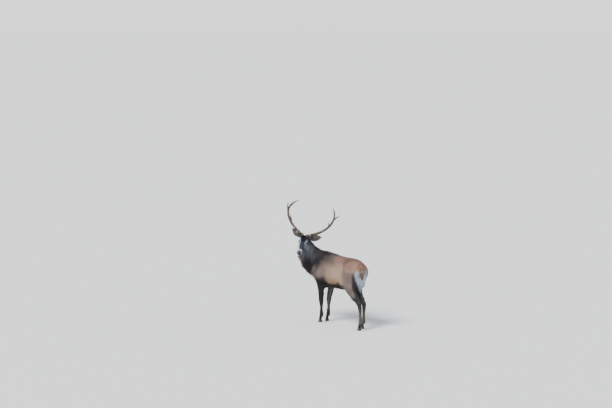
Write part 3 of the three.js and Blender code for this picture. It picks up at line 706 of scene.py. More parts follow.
def thinned(mesh, faces):
    """The shell with fewer facets where it is plain, and most of them kept on the head."""
    near = np.linalg.norm(points_of(mesh) - from_head(*HEAD_MIDDLE), axis=1)
    plain = 1 - 0.93 * smoothstep(near, 0.32, 0.24)
    squares = len(mesh.polygons)
    thinning = {"ratio": faces / (2 * squares), "vertex_group": "plain", "vertex_group_factor": 4.0}
    return shaped(mesh, ("DECIMATE", thinning), plain=plain)


def region_weights(mesh, edges):
    """How much each vertex belongs to each region, fading over a few centimetres."""
    corners, faces, owners = [], [], []
    for node in UNDER_SKIN:
        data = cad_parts[node].data
        start = len(corners)
        corners += [tuple(v.co) for v in data.vertices]
        faces += [tuple(start + i for i in polygon.vertices) for polygon in data.polygons]
        owners += [REGIONS.index(region_of(node))] * len(data.polygons)
    tree = BVHTree.FromPolygons(corners, faces)
    owner = np.array([owners[tree.find_nearest(vert.co)[2]] for vert in mesh.vertices])
    weights = np.eye(len(REGIONS))[owner]
    return soften(weights, edges, 16, 0.9)


def coat_depth(points, weights, sizes):
    """How far the coat's tips stand above the skin."""
    share = dict(zip(REGIONS, weights.T))
    forward, _, up = body_place(points)
    throat = smoothstep(head_place(points)[0], -0.12, 0.02)
    throat = np.maximum(throat, smoothstep(forward, 0.50, 0.66) * smoothstep(up, 1.25, 1.05))
    neck = mix(sizes.crest_depth, sizes.throat_depth, throat)
    neck = neck * smoothstep(np.linalg.norm(points - from_head(0.03, 0, -0.02), axis=1), 0.06, 0.24)
    depth = share["trunk"] * sizes.trunk_depth + share["neck"] * (0.004 + neck)
    depth += share["tail"] * 0.010 + share["head"] * sizes.face_depth + share["ear"] * 0.0012
    depth += (share["forearm"] + share["gaskin"]) * sizes.leg_depth
    return depth + share["shank"] * sizes.shank_depth


# Muscles and hollows, in metres: place as forward, left and up, reach along each, and height.
# A hollow's height is below 0. Each stands on both sides.
MUSCLES = [
    ((0.43, 0.15, 0.98), (0.05, 0.09, 0.15), 0.007),  # shoulder blade
    ((0.33, 0.17, 0.80), (0.07, 0.09, 0.10), 0.008),  # triceps
    ((0.24, 0.18, 0.86), (0.04, 0.09, 0.16), -0.010),  # hollow behind the shoulder
    ((0.52, 0.12, 0.86), (0.05, 0.07, 0.06), 0.006),  # point of the shoulder
    ((-0.36, 0.12, 1.10), (0.06, 0.05, 0.05), 0.008),  # hip bone
    ((-0.28, 0.16, 0.98), (0.06, 0.09, 0.07), -0.011),  # hollow of the flank
    ((-0.45, 0.15, 0.93), (0.08, 0.09, 0.12), 0.006),  # thigh
    ((-0.53, 0.12, 0.80), (0.025, 0.07, 0.14), -0.009),  # groove in the back of the thigh
    ((-0.20, 0.16, 0.76), (0.05, 0.06, 0.05), -0.007),  # in front of the stifle
    ((0.0, 0.20, 0.86), (0.22, 0.12, 0.13), 0.006),  # barrel of the ribs
    ((-0.60, 0.0, 0.92), (0.05, 0.022, 0.16), -0.008),  # cleft under the tail
]
RIB_SPACING, RIB_HEIGHT, RIB_SLANT = 0.052, 0.0016, 0.35

# Lines that the markings follow, each as places on the body and the measure there, in metres.
RUMP_MIDDLE = (  # height, and how far left the middle of the pale rump patch lies
    (0.65, 0.70, 0.78, 0.856, 0.93, 1.0),
    (-0.085, -0.080, -0.045, -0.010, 0.010, 0.025),
)
RUMP_WIDTH = (  # height, and half the width of the pale rump patch
    (0.60, 0.62, 0.65, 0.70, 0.78, 0.856, 0.93, 1.00, 1.035, 1.06),
    (0.0, 0.014, 0.030, 0.038, 0.063, 0.108, 0.128, 0.115, 0.09, 0.0),
)
THIGH_STRIPE = (  # height, and how far out the dark stripe beside the patch reaches
    (0.50, 0.677, 0.73, 0.785, 0.857, 0.93, 1.02),
    (0.12, 0.15, 0.168, 0.175, 0.186, 0.20, 0.20),
)
TAIL_MIDDLE = (  # height, and how far left the middle of the tail hangs
    (0.884, 0.93, 1.0, 1.066, 1.096),
    (0.032, 0.031, 0.027, 0.018, 0.008),
)
BELLY_LINE = (  # place forward, and height of the upper edge of the dark belly
    (-0.34, -0.20, 0.04, 0.09, 0.18, 0.30),
    (0.738, 0.730, 0.712, 0.716, 0.75, 0.77),
)
NECK_MIDDLE = (  # height, and how far left the middle of the neck lies
    (0.85, 1.10, 1.25, 1.45),
    (0.01, 0.07, 0.12, 0.18),
)
MOUTH_LINE = (  # place along the head, and height of the line between the lips
    (0.27, 0.33, 0.375, 0.41),
    (-0.034, -0.030, -0.0245, -0.0225),
)

# A nostril, seen from the front: its middle out and up, its half length and half height, how far it
# is tipped, and how strongly it curves into a comma.
NOSTRIL_OUT, NOSTRIL_UP = 0.0215, 0.0035
NOSTRIL_LENGTH, NOSTRIL_HEIGHT = 0.0095, 0.0052
NOSTRIL_TIP = math.radians(34)
NOSTRIL_CURVE = 14.0


def sculpted(points, normals, weights):
    """The skin with its muscles, hollows and ribs."""
    forward, left, up = body_place(points)
    share = dict(zip(REGIONS, weights.T))
    height = np.zeros(len(points))
    for place, reach, rise in MUSCLES:
        for side in (1, -1) if place[1] else (1,):
            middle = (place[0], place[1] * side, place[2])
            far = [(v - m) / r for v, m, r in zip((forward, left, up), middle, reach)]
            height += rise * np.exp(-sum(d * d for d in far))
    ribs = smoothstep(forward, -0.2, -0.05) * smoothstep(forward, 0.28, 0.16) * bump(up, 0.86, 0.12)
    along_ribs = forward + RIB_SLANT * (up - 0.9)
    height += RIB_HEIGHT * ribs * np.sin(2 * np.pi * along_ribs / RIB_SPACING)
    height *= share["trunk"] + 0.6 * (share["forearm"] + share["gaskin"])
    return points + normals * height[:, None]


def mouth_height(along):
    """How high the line between the lips runs, from the corner to the front."""
    return np.interp(along, *MOUTH_LINE)


def nostril(side, rise):
    """0 in the middle of the nostril as it is seen from the front, and 1 at its rim."""
    out, up = side - NOSTRIL_OUT, rise - NOSTRIL_UP
    a = out * math.cos(NOSTRIL_TIP) + up * math.sin(NOSTRIL_TIP)
    b = -out * math.sin(NOSTRIL_TIP) + up * math.cos(NOSTRIL_TIP)
    return np.hypot(a / NOSTRIL_LENGTH, (b + NOSTRIL_CURVE * a**2) / NOSTRIL_HEIGHT)


def head_relief(points):
    """Lift of the skin of the head, out along its normal, from its bones, folds, lips and nostrils."""
    along, left, up = head_place(points)
    side = np.abs(left)

    def mound(a, l, u, reach, rise):
        far = ((along - a) ** 2 + (side - l) ** 2 + (up - u) ** 2) / reach**2
        return rise * np.exp(-far)

    def groove(start, end, width, rise):
        start, end = np.array(start), np.array(end)
        here = np.stack([along, side, up], axis=1)
        run = end - start
        t = np.clip(((here - start) @ run) / (run @ run), 0, 1)
        far = np.linalg.norm(here - start - t[:, None] * run, axis=1)
        return rise * np.exp(-((far / width) ** 2))

    lift = mound(0.118, 0.054, 0.050, 0.024, 0.005)  # rim of bone over the eye
    lift += groove((0.17, 0.060, 0.000), (0.27, 0.048, -0.014), 0.013, 0.0035)  # cheek bone
    lift += groove((0.158, 0.060, -0.012), (0.180, 0.058, -0.006), 0.008, 0.003)  # under the eye
    lift += groove((0.170, 0.056, 0.014), (0.206, 0.050, 0.000), 0.0048, -0.007)  # gland before the eye
    lift += mound(0.09, 0.06, -0.055, 0.042, 0.005)  # jaw muscle
    lift += groove((0.13, 0.05, -0.030), (0.28, 0.045, -0.040), 0.016, -0.003)  # hollow of the cheek
    lift += groove((0.10, 0.055, -0.088), (0.30, 0.038, -0.060), 0.013, -0.002)  # under the jaw bone
    lift += groove((0.22, 0.030, 0.034), (0.33, 0.030, 0.026), 0.011, 0.002)  # edges of the nose bone
    lift += groove((0.06, 0.0, 0.075), (0.17, 0.0, 0.055), 0.014, -0.003)  # dip of the forehead
    lift += mound(0.386, 0.033, 0.010, 0.014, 0.0035)  # wing of the nostril
    front = smoothstep(along, 0.352, 0.366)
    hole = nostril(side, up)
    lift += front * (-0.011 * smoothstep(hole, 1.05, 0.55) + 0.0016 * bump(hole, 1.35, 0.28))
    lift += front * -0.0026 * smoothstep(side, 0.0030, 0.0004) * smoothstep(up, 0.014, 0.006)  # cleft
    seam = up - mouth_height(along)
    lips = smoothstep(along, 0.262, 0.285)
    lift += lips * (-0.0050 * bump(seam, 0.0, 0.0022) + 0.0020 * bump(seam, 0.008, 0.006))
    lift += lips * smoothstep(along, 0.33, 0.37) * 0.0026 * bump(seam, -0.009, 0.006)
    return lift


# Along the head, out and up: the way an eye looks, and the way its lids run towards the nose.
GAZE, LID_LINE = (0.52, 1.0, 0.12), (1.0, 0.1, -0.34)


def eye_frame(side):
    """An eye's middle and its own directions: out, forward along the lids, and up."""
    middle = np.array(box_middle(f"eye_{side}"))
    mirror = np.array([1.0, SIDES[side], 1.0])
    gaze = unit((mirror * GAZE) @ HEAD_AXES)
    front = (mirror * LID_LINE) @ HEAD_AXES
    front = unit(front - (front @ gaze) * gaze)
    upward = np.cross(gaze, front)
    if upward @ HEAD_AXES[2] < 0:
        upward = -upward
    return middle, np.array([gaze, front, upward])


LID_LENGTH, LID_OPEN = 0.0215, 0.0132  # half the length and half the height of the lids' opening
LOWER_LID = 0.86  # how far the opening reaches down, as a share of how far it reaches up
EYE_DEPTH = 0.0045  # how far the skin in the opening lies behind the eyeball's surface
# Folds of the lids: height, place (1 is the edge of the opening) and width.
LID_CREASE, LID_ROLL = (0.0016, 1.55, 0.16), (0.0012, 1.14, 0.12)


def with_lids(points, sizes):
    """Skin drawn over the eyes, with an almond opening between two lids. Also returns the rims."""
    points = points.copy()
    rims = np.zeros(len(points))
    for side in SIDES:
        middle, axes = eye_frame(side)
        out, a, b = ((points - middle) @ axes.T).T
        far = np.hypot(a, b)
        near = (far < 0.045) & (np.abs(out) < 0.05)
        droop = np.where(b > 0, 1.0, LOWER_LID)
        narrowing = (1 - 0.35 * (a / LID_LENGTH) ** 2).clip(0.3)
        almond = np.hypot(a / LID_LENGTH, b / (LID_OPEN * droop * narrowing))
        ball = np.sqrt(np.clip(EYE_RADIUS**2 - far**2, 0, None))
        dome = np.sqrt(np.clip((EYE_RADIUS + sizes.lid) ** 2 - far**2, 1e-8, None))
        crease, roll = (high * bump(almond, at, wide) for high, at, wide in (LID_CREASE, LID_ROLL))
        lid = np.maximum(dome - crease + roll, 0)
        cover = smoothstep(far, 0.030, 0.019)
        closed = mix(out, np.maximum(lid, mix(out, lid, 0.8)), cover)
        opened = ball - EYE_DEPTH
        level = mix(opened, closed, smoothstep(almond, 0.93, 1.07))
        level = np.where(near, level, out)
        points += (level - out)[:, None] * axes[0]
        rims = np.maximum(rims, np.where(near, smoothstep(almond, 1.32, 1.12), 0))
    return points, rims


FINE_ROUNDS = (0.036, 0.027, 0.026)  # how far round each eye the facets are halved, round by round


def refined(mesh):
    """Finer facets round the eyes in each round, and in the first at the muzzle and the tear glands."""
    for index, eye_reach in enumerate(FINE_ROUNDS):
        points = points_of(mesh)
        near = np.zeros(len(points), bool)
        for side in SIDES:
            near |= np.linalg.norm(points - eye_frame(side)[0], axis=1) < eye_reach
        if index == 0:
            along, left, up = head_place(points)
            flat = np.abs(left)
            near |= (along > 0.28) & (flat < 0.06) & (np.abs(up + 0.008) < 0.040)
            near |= (along > 0.155) & (along < 0.215) & (flat > 0.035) & (np.abs(up - 0.01) < 0.03)
        shell = bmesh.new()
        shell.from_mesh(mesh)
        shell.verts.ensure_lookup_table()
        chosen = [edge for edge in shell.edges if all(near[vert.index] for vert in edge.verts)]
        bmesh.ops.subdivide_edges(shell, edges=chosen, cuts=1, smooth=0.0)
        bmesh.ops.triangulate(shell, faces=[face for face in shell.faces if len(face.verts) > 3])
        shell.to_mesh(mesh)
        shell.free()
    return mesh


def guided(points, normals, weights):
    """The lie of the coat: which way hair points on the skin, along its surface."""
    share = dict(zip(REGIONS, weights.T))
    forward, _, up = body_place(points)
    along, side, rise = head_place(points)
    count = len(points)

    def way(direction):
        return np.broadcast_to(unit(from_body(*direction)), (count, 3))

    haunch = smoothstep(forward, -0.06, -0.56)
    breast = smoothstep(forward, 0.42, 0.58) * smoothstep(up, 1.15, 0.95)
    low = smoothstep(up, 0.86, 0.68)
    trunk = mix(way((-1, 0, -0.10)), way((-0.55, 0, -0.85)), haunch)
    trunk = mix(trunk, way((-0.75, 0, -0.65)), low * (1 - haunch))
    trunk = mix(trunk, way((-0.35, 0, -0.95)), breast)
    throat = smoothstep(along, -0.14, 0.04)
    neck = mix(way((-0.50, -0.30, -0.81)), way((-0.10, -0.05, -1.0)), throat)
    head = -HEAD_AXES[0] - 0.35 * smoothstep(rise, 0.0, -0.06)[:, None] * HEAD_AXES[2]
    ear = np.zeros((count, 3))
    for name, sign in SIDES.items():
        reach = np.array(box_middle(f"ear_{name}")) - beside_head(EAR_ROOT, name)
        ear += smoothstep(side * sign, 0.0, 0.01)[:, None] * unit(reach)
    leg = way((-0.10, 0, -1.0))
    lie = share["trunk"][:, None] * trunk + share["neck"][:, None] * neck
    lie += share["head"][:, None] * head + share["ear"][:, None] * ear
    lie += share["tail"][:, None] * way((0, 0, -1))
    lie += (share["forearm"] + share["gaskin"] + share["shank"])[:, None] * leg
    lie -= normals * np.sum(lie * normals, axis=1, keepdims=True)
    return unit(lie)


def markings(points, normals, weights, swirl, colours):
    """The coat's colour at each place, its markings with some painted light and shade, and how bare the
    skin is there.
    """
    share = dict(zip(REGIONS, weights.T))
    forward, left, up = body_place(points)
    up = up + 0.012 * swirl
    forward = forward + 0.010 * swirl
    paint = np.tile(np.array(colours.flank), (len(points), 1))
    layers = body_layers(forward, left, up, normals)
    layers += leg_layers(share, forward, left, up, normals)
    layers += rump_layers(share["tail"], forward, left, up, swirl)
    layers += neck_layers(share["neck"], points, forward, left, up, normals)
    face, bare = face_layers(share["head"], points, swirl)
    for name, amount in layers + face + [("ear", share["ear"])]:
        paint = mix(paint, np.array(getattr(colours, name)), np.clip(amount, 0, 1))
    return paint, bare


def body_layers(forward, left, up, normals):
    """Markings of the trunk, with painted shade in the creases behind the shoulder and before the haunch
    and under the belly: the name of each colour, and how much of it lies at each place.
    """
    out = np.abs(left)
    down = smoothstep(normals[:, 2], -0.60, -0.92)
    line = np.interp(forward, *BELLY_LINE)
    spine = smoothstep(out, 0.07, 0.02) * smoothstep(up, 1.13, 1.17)
    return [
        ("golden", 0.9 * smoothstep(up, 0.86, 0.77) * bump(forward, -0.07, 0.19)),
        ("shoulder", smoothstep(forward, 0.12, 0.28)),
        ("saddle", smoothstep(up, 0.99, 1.10) * smoothstep(forward, -0.24, 0.04)),
        ("haunch", smoothstep(forward, -0.21, -0.40) * smoothstep(up, 1.06, 0.96)),
        ("back", smoothstep(up, 1.08, 1.15) * smoothstep(forward, 0.12, -0.12)),
        ("croup", smoothstep(forward, -0.10, -0.44) * smoothstep(up, 1.03, 1.10)),
        ("withers", 0.9 * smoothstep(up, 1.06, 1.13) * bump(forward, 0.30, 0.19)),
        ("crest", 0.75 * spine * smoothstep(forward, -0.10, 0.20)),
        # Painted shade: a darker line along the crease in front of the haunch.
        ("groin", 0.25 * bump(forward, -0.22, 0.045) * bump(up, 0.93, 0.13)),
        # Painted shade: a darker band in the hollow behind the shoulder.
        ("saddle", 0.50 * bump(forward, 0.21, 0.045) * bump(up, 0.85, 0.13)),
        ("elbow", 0.55 * bump(forward, 0.20, 0.10) * smoothstep(up, 0.88, 0.78)),
        ("elbow", smoothstep(up, 0.845, 0.765) * bump(forward, 0.36, 0.17)),
        ("elbow", smoothstep(forward, 0.52, 0.62) * smoothstep(up, 1.02, 0.90)),
        # Painted shade: near-black reaching up into the fold in front of the stifle.
        ("belly", 0.9 * bump(forward, -0.20, 0.045) * smoothstep(up, 0.80, 0.75)),
        ("belly", smoothstep(up, line + 0.018, line - 0.014) * smoothstep(forward, -0.40, -0.31)),
        # Partly the dark belly and partly painted shade: the underside that faces down takes the belly's
        # colour.
        ("belly", down * smoothstep(up, 0.85, 0.78)),
    ]


def leg_layers(share, forward, left, up, normals):
    """Markings of the legs: dark above, with pale cannons behind and a paler inner side in front."""
    hind = smoothstep(forward, -0.15, -0.30)
    front = smoothstep(normals @ from_body(1, 0, 0), -0.2, 0.5)
    inward = smoothstep(-np.sign(left) * normals[:, 0], 0.05, 0.65)
    gaskin, shank = share["gaskin"], share["shank"]
    fore = (share["forearm"] + shank * (1 - hind)) * smoothstep(up, 0.80, 0.73)
    cannon = shank * hind * smoothstep(up, 0.40, 0.33)
    inside = 0.75 * fore * inward * smoothstep(up, 0.70, 0.60)
    return [
        ("leg", fore),
        ("leg_inside", inside * smoothstep(up, 0.16, 0.26)),
        ("gaskin", gaskin * smoothstep(up, 0.76, 0.70)),
        ("leg", 0.9 * gaskin * inward * smoothstep(up, 0.76, 0.68)),
        ("hock", hind * (gaskin + shank) * smoothstep(up, 0.60, 0.52)),
        ("shank", cannon * (0.55 + 0.45 * front)),
        ("shank_low", 0.8 * cannon * smoothstep(up, 0.26, 0.18) * front),
        ("leg", shank * smoothstep(up, 0.13, 0.09)),
    ]


def rump_layers(tail, forward, left, up, swirl):
    """The pale patch that tapers down between the thighs, the dark stripes beside it, a dark line beside
    the tail that is partly dark hair and partly painted shadow of the tail, and the tail.
    """
    aside = np.abs(left - np.interp(up, *RUMP_MIDDLE))
    across = aside + 0.35 * np.clip(forward + 0.52, 0, None) + 0.006 * swirl
    wide = np.interp(up, *RUMP_WIDTH)
    outward = np.abs(left) + 0.35 * np.clip(forward + 0.62, 0, None) + 0.006 * swirl
    edge = np.interp(up, *THIGH_STRIPE)
    rear = smoothstep(forward, -0.36, -0.44) * (1 - tail)
    stripe = smoothstep(outward, edge + 0.016, edge - 0.016)
    off_middle = np.abs(left - np.interp(up, *TAIL_MIDDLE))
    pale = rear * smoothstep(across, wide + 0.010, wide - 0.012) * smoothstep(wide, 0.0, 0.02)
    spine = 0.7 * bump(left, 0.02, 0.014) * bump(forward, -0.58, 0.035)
    # Partly dark hair and partly painted shadow of the tail: a dark line beside the tail on its left.
    tail_shadow_and_dark_hair = 0.9 * rear * bump(left, 0.064, 0.012)
    return [
        ("rump_edge", rear * stripe * smoothstep(up, 1.055, 0.93) * smoothstep(up, 0.38, 0.48)),
        ("croup", rear * smoothstep(up, 1.03, 1.06) * smoothstep(aside, 0.16, 0.12)),
        ("rump", pale),
        ("crest", spine * bump(up, 1.085, 0.03)),
        ("rump_edge", tail_shadow_and_dark_hair * smoothstep(up, 0.90, 0.95) * smoothstep(up, 1.10, 1.06)),
        ("tail", tail),
        ("rump_edge", 0.85 * tail * smoothstep(off_middle, 0.011, 0.021)),
        ("rump_edge", 0.7 * tail * smoothstep(up, 0.955, 0.915)),
    ]


def cheek_far(along, flat, rise):
    """How far places lie from the pale patch below and behind the eye."""
    return np.sqrt((along - 0.115) ** 2 + (flat - 0.070) ** 2 + (rise + 0.055) ** 2)


def neck_layers(neck, points, forward, left, up, normals):
    """Markings of the neck, the mane and the breast, with a painted lit edge where the neck faces the
    camera's left.
    """
    along, side, rise = head_place(points)
    throat = smoothstep(along, -0.12, 0.02)
    throat = np.maximum(throat, smoothstep(forward, 0.60, 0.70))
    jaw = (along - 0.05) ** 2 + ((np.abs(side) - 0.09) / 0.8) ** 2
    jaw = np.sqrt(jaw + (rise + 0.13) ** 2)
    ahead, aside = 0.616, 0.788  # the way that the neck's painted lit edge faces: to the camera's left, where the key light comes from
    front = smoothstep(normals @ unit(from_body(ahead, aside, 0)), 0.45, 0.85)
    front = front * smoothstep(ahead * forward + aside * left, 0.60, 0.66)
    point = 0.75 * bump(forward, 0.52, 0.055) * bump(up, 0.96, 0.075)
    return [
        ("neck", neck),
        ("neck_low", neck * smoothstep(up, 1.22, 1.08)),
        ("jaw", 0.85 * neck * smoothstep(jaw, 0.145, 0.05)),
        ("silver", 0.6 * neck * smoothstep(cheek_far(along, np.abs(side), rise), 0.080, 0.030)),
        ("crest", 0.8 * neck * smoothstep(normals[:, 2], 0.35, 0.70)),
        ("throat", neck * throat * smoothstep(up, 1.20, 1.10)),
        # Painted light: the lit edge of the mane, brown on the side towards the camera's left.
        ("throat_front", 0.9 * neck * front * bump(up, 1.10, 0.085)),
        ("shoulder", point * smoothstep(np.abs(left), 0.09, 0.15)),
        ("throat", smoothstep(forward, 0.54, 0.64) * smoothstep(up, 1.03, 0.95)),
    ]


def face_layers(face, points, swirl):
    """Markings of the face, with painted shade and a painted highlight on the right cheek, and how bare it
    is at the nose and the lips.
    """
    along, side, rise = head_place(points)
    flat = np.abs(side)
    eye_far = np.sqrt((along - 0.130) ** 2 + (flat - 0.066) ** 2 + rise**2)
    lids = np.linalg.norm(np.column_stack([along, flat, rise]) - np.array(EYE_PLACE), axis=1)
    below = bump(rise, -0.006, 0.024) * smoothstep(flat, 0.030, 0.044)
    spot = ((along - 0.106) / 0.013) ** 2 + ((flat - 0.052) / 0.014) ** 2
    spot = np.sqrt(spot + ((rise - 0.062) / 0.013) ** 2)
    edge = 0.046 - 0.05 * np.clip(along - 0.12, 0, 0.2)
    stripe = smoothstep(flat, edge, edge - 0.020) * smoothstep(rise, 0.012, 0.026)
    pad = smoothstep(along + 0.35 * rise - 0.10 * flat, 0.380, 0.386)
    pad = pad * smoothstep(rise, -0.0165, -0.0125) * smoothstep(flat, 0.036, 0.030)
    wing = smoothstep(along, 0.36, 0.37) * smoothstep(nostril(flat, rise), 1.85, 1.5)
    pad = np.maximum(pad, wing)
    seam = np.abs(rise - mouth_height(along))
    mouth = smoothstep(seam, 0.0042, 0.0016) * smoothstep(along, 0.262, 0.285) * face
    past = along - 0.186
    gland = np.hypot(past / 0.024, (rise - 0.008 + 0.35 * past) / 0.006)
    gland = smoothstep(gland, 1.1, 0.6) * smoothstep(flat, 0.035, 0.045)
    # Painted light and shade on the right cheek: its silver is painted weaker below the eye as painted
    # shade, and its upper edge gets a pale strip as a painted highlight of its lit side.
    shaded = 1 - 0.6 * smoothstep(side, -0.03, -0.05) * smoothstep(rise, 0.015, -0.015)
    painted_sunlit_strip = smoothstep(0.23 * along - side, 0.086, 0.095) * smoothstep(along, 0.09, 0.14)
    crown = face * smoothstep(flat, 0.052, 0.034) * smoothstep(along, 0.17, 0.12)
    layers = [
        ("face", face),
        # Silver round the eye and on the cheek, weakened on the right cheek by the painted shade.
        ("silver", 0.9 * face * shaded * smoothstep(eye_far, 0.092, 0.045)),
        ("silver", 0.8 * face * shaded * smoothstep(cheek_far(along, flat, rise), 0.085, 0.035)),
        ("silver", 0.8 * face * below * smoothstep(along, 0.13, 0.17) * smoothstep(along, 0.26, 0.22)),
        ("brow", 0.8 * face * np.exp(-(spot**2))),
        ("bridge", face * stripe * smoothstep(along, 0.345, 0.315)),
        # Painted highlight: muzzle colour on the pale strip along the right cheek's upper edge.
        ("muzzle", 0.45 * face * painted_sunlit_strip * smoothstep(rise, -0.015, 0.012)),
        ("forehead", crown * smoothstep(rise, 0.0, 0.03)),
        ("forehead", face * smoothstep(along, 0.075, 0.035) * smoothstep(rise, 0.02, 0.05)),
        ("muzzle", face * smoothstep(along + 0.004 * swirl, 0.303, 0.336)),
        ("chin", face * smoothstep(rise, -0.024, -0.036) * smoothstep(along, 0.24, 0.30)),
        ("muzzle", 0.7 * face * bump(rise, -0.034, 0.006) * smoothstep(along, 0.36, 0.375)),
        ("nose", pad),
        ("nose", 0.85 * mouth),
        ("nose", 0.8 * face * gland),
        ("forehead", 0.7 * face * smoothstep(lids, 0.0285, 0.0225)),
    ]
    return layers, np.clip(pad + 0.5 * mouth, 0, 1)


def ear_axes(side):
    """An ear's root and tip, the way it points, and the way its cup opens."""
    points = points_of(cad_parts[f"ear_{side}"].data)
    root = beside_head(EAR_ROOT, side)
    tip = points[np.argmax(np.linalg.norm(points - root, axis=1))]
    reach = unit(tip - root)
    ahead, outward, upward = 0.74, 0.34, 0.55  # roughly the way an ear listens
    facing = HEAD_AXES[0] * ahead + HEAD_AXES[1] * SIDES[side] * outward + HEAD_AXES[2] * upward
    return root, tip, reach, unit(facing - (facing @ reach) * reach)


def paint_ears(points, normals, weights, paint, colours):
    """Dark rims of the ears and the skin of their hollow, and how far inside the cup each place is."""
    inside = np.zeros(len(points))
    for side in SIDES:
        root, tip, reach, opening = ear_axes(side)
        long = np.linalg.norm(tip - root)
        run = (points - root) @ reach
        centre = root + run[:, None] * reach
        spoke = points - centre
        near = (np.linalg.norm(spoke, axis=1) < 0.11) & (run > -0.01) & (run < long + 0.02)
        share = np.where(near, weights[:, REGIONS.index("ear")], 0)
        cup = share * smoothstep(normals @ opening, 0.05, 0.45)
        inside = np.maximum(inside, cup)
        rim = smoothstep(np.abs(normals @ opening), 0.55, 0.1) * smoothstep(run, 0.03, 0.08)
        paint = mix(paint, np.array(colours.ear_skin), cup)
        paint = mix(paint, np.array(colours.ear_rim), share * smoothstep(run / long, 0.80, 0.98) * 0.9)
        paint = mix(paint, np.array(colours.ear_rim), share * rim * 0.6)
    return paint, inside


# The map's sheets: left, bottom, width and height. First the trunk, the neck, the tail and the head,
# then the outside and the inside of each ear, then each leg.
SHEETS = [(0, 0, 0.6, 0.42), (0.6, 0, 0.4, 0.42), (0.9, 0.72, 0.1, 0.28), (0, 0.42, 0.48, 0.3)]
SHEETS += [(0.48 + 0.13 * k, 0.42, 0.13, 0.3) for k in range(4)]
SHEETS += [(0.225 * k, 0.72, 0.225, 0.28) for k in range(4)]
SHEET_MARGIN = 0.004
NECK_BASE, NECK_TOP = (0.50, 0.02, 1.0), (0.77, 0.17, 1.42)  # ends of the neck's middle line


def unwrap(mesh, weights):
    """The map OFBake: each part of the skin unrolled round its own middle line, on its own sheet."""
    points = points_of(mesh)
    normals = normals_of(mesh)
    corners, loops = triangles_of(mesh)
    forward, left, up = body_place(points)
    along, side, rise = head_place(points)
    share = dict(zip(REGIONS, weights.T))
    leg = share["forearm"] + share["gaskin"] + share["shank"]
    parts = [share[name] for name in ("trunk", "neck", "tail", "head", "ear")]
    best = np.argmax(np.stack([*parts, leg]), axis=0)
    chart = np.zeros(len(points), int)
    turn = np.zeros(len(points))
    run = np.zeros(len(points))
    facing = normals @ from_body(1, 0, 0)

    def roll(index, mine, x, y, length_along):
        chart[mine] = index
        turn[mine] = np.arctan2(y[mine], x[mine]) / (2 * np.pi)
        run[mine] = length_along[mine]

    roll(0, best == 0, left, up - 0.92, forward + 0.2 * facing)
    base, top = from_body(*NECK_BASE), from_body(*NECK_TOP)
    axis = unit(top - base)
    spoke = points - np.array([MIDDLE_X, SHOULDER_Y, 0]) - base
    height = spoke @ axis
    across = unit(np.cross(axis, from_body(0, 0, 1)))
    roll(1, best == 1, spoke @ across, spoke @ np.cross(axis, across), height)
    roll(2, best == 2, left, forward + 0.62, up)
    roll(3, best == 3, side, rise + 0.01, along + 0.04 * (normals @ HEAD_AXES[0]))
    for index, name in enumerate(SIDES):
        root, _, reach, opening = ear_axes(name)
        mine = (best == 4) & (side * SIDES[name] > 0)
        spoke = points - root
        aside = np.cross(reach, opening)
        outward = unit(spoke - (spoke @ reach)[:, None] * reach - 0.03 * opening)
        inner = np.sum(outward * normals, axis=1) < 0
        roll(4 + 2 * index, mine & ~inner, spoke @ aside, spoke @ opening - 0.03, spoke @ reach)
        roll(5 + 2 * index, mine & inner, spoke @ aside, spoke @ opening - 0.03, spoke @ reach)
    for index, (end, sign) in enumerate((e, s) for e in (1, -1) for s in (1, -1)):
        mine = (best == 5) & (left * sign > 0) & (forward * end > 0)
        steps = np.linspace(0, 0.9, 31)
        middles = []
        for k in range(2):
            values = [points[mine & (np.abs(up - z) < 0.04), k] for z in steps]
            middles.append(np.interp(up, steps, [v.mean() if len(v) else np.nan for v in values]))
        roll(8 + index, mine, points[:, 0] - middles[0], points[:, 1] - middles[1], up)
    face_chart = chart[corners[:, 0]]
    u = turn[corners]
    u = u - np.round(u - u[:, :1])
    v = run[corners]
    for index, (x, y, wide, high) in enumerate(SHEETS):
        mine = face_chart == index
        if not mine.any():
            continue
        for values, start, size in ((u, x, wide), (v, y, high)):
            part = values[mine]
            first, last = np.percentile(part, (0.02, 99.98))
            part = np.clip((part - first) / max(last - first, 1e-6), 0, 1)
            values[mine] = start + SHEET_MARGIN + part * (size - 2 * SHEET_MARGIN)
    layer = mesh.uv_layers.new(name="OFBake")
    flat = np.zeros((len(mesh.loops), 2), np.float32)
    flat[loops.ravel()] = np.stack([u.ravel(), v.ravel()], axis=1)
    layer.data.foreach_set("uv", flat.ravel())


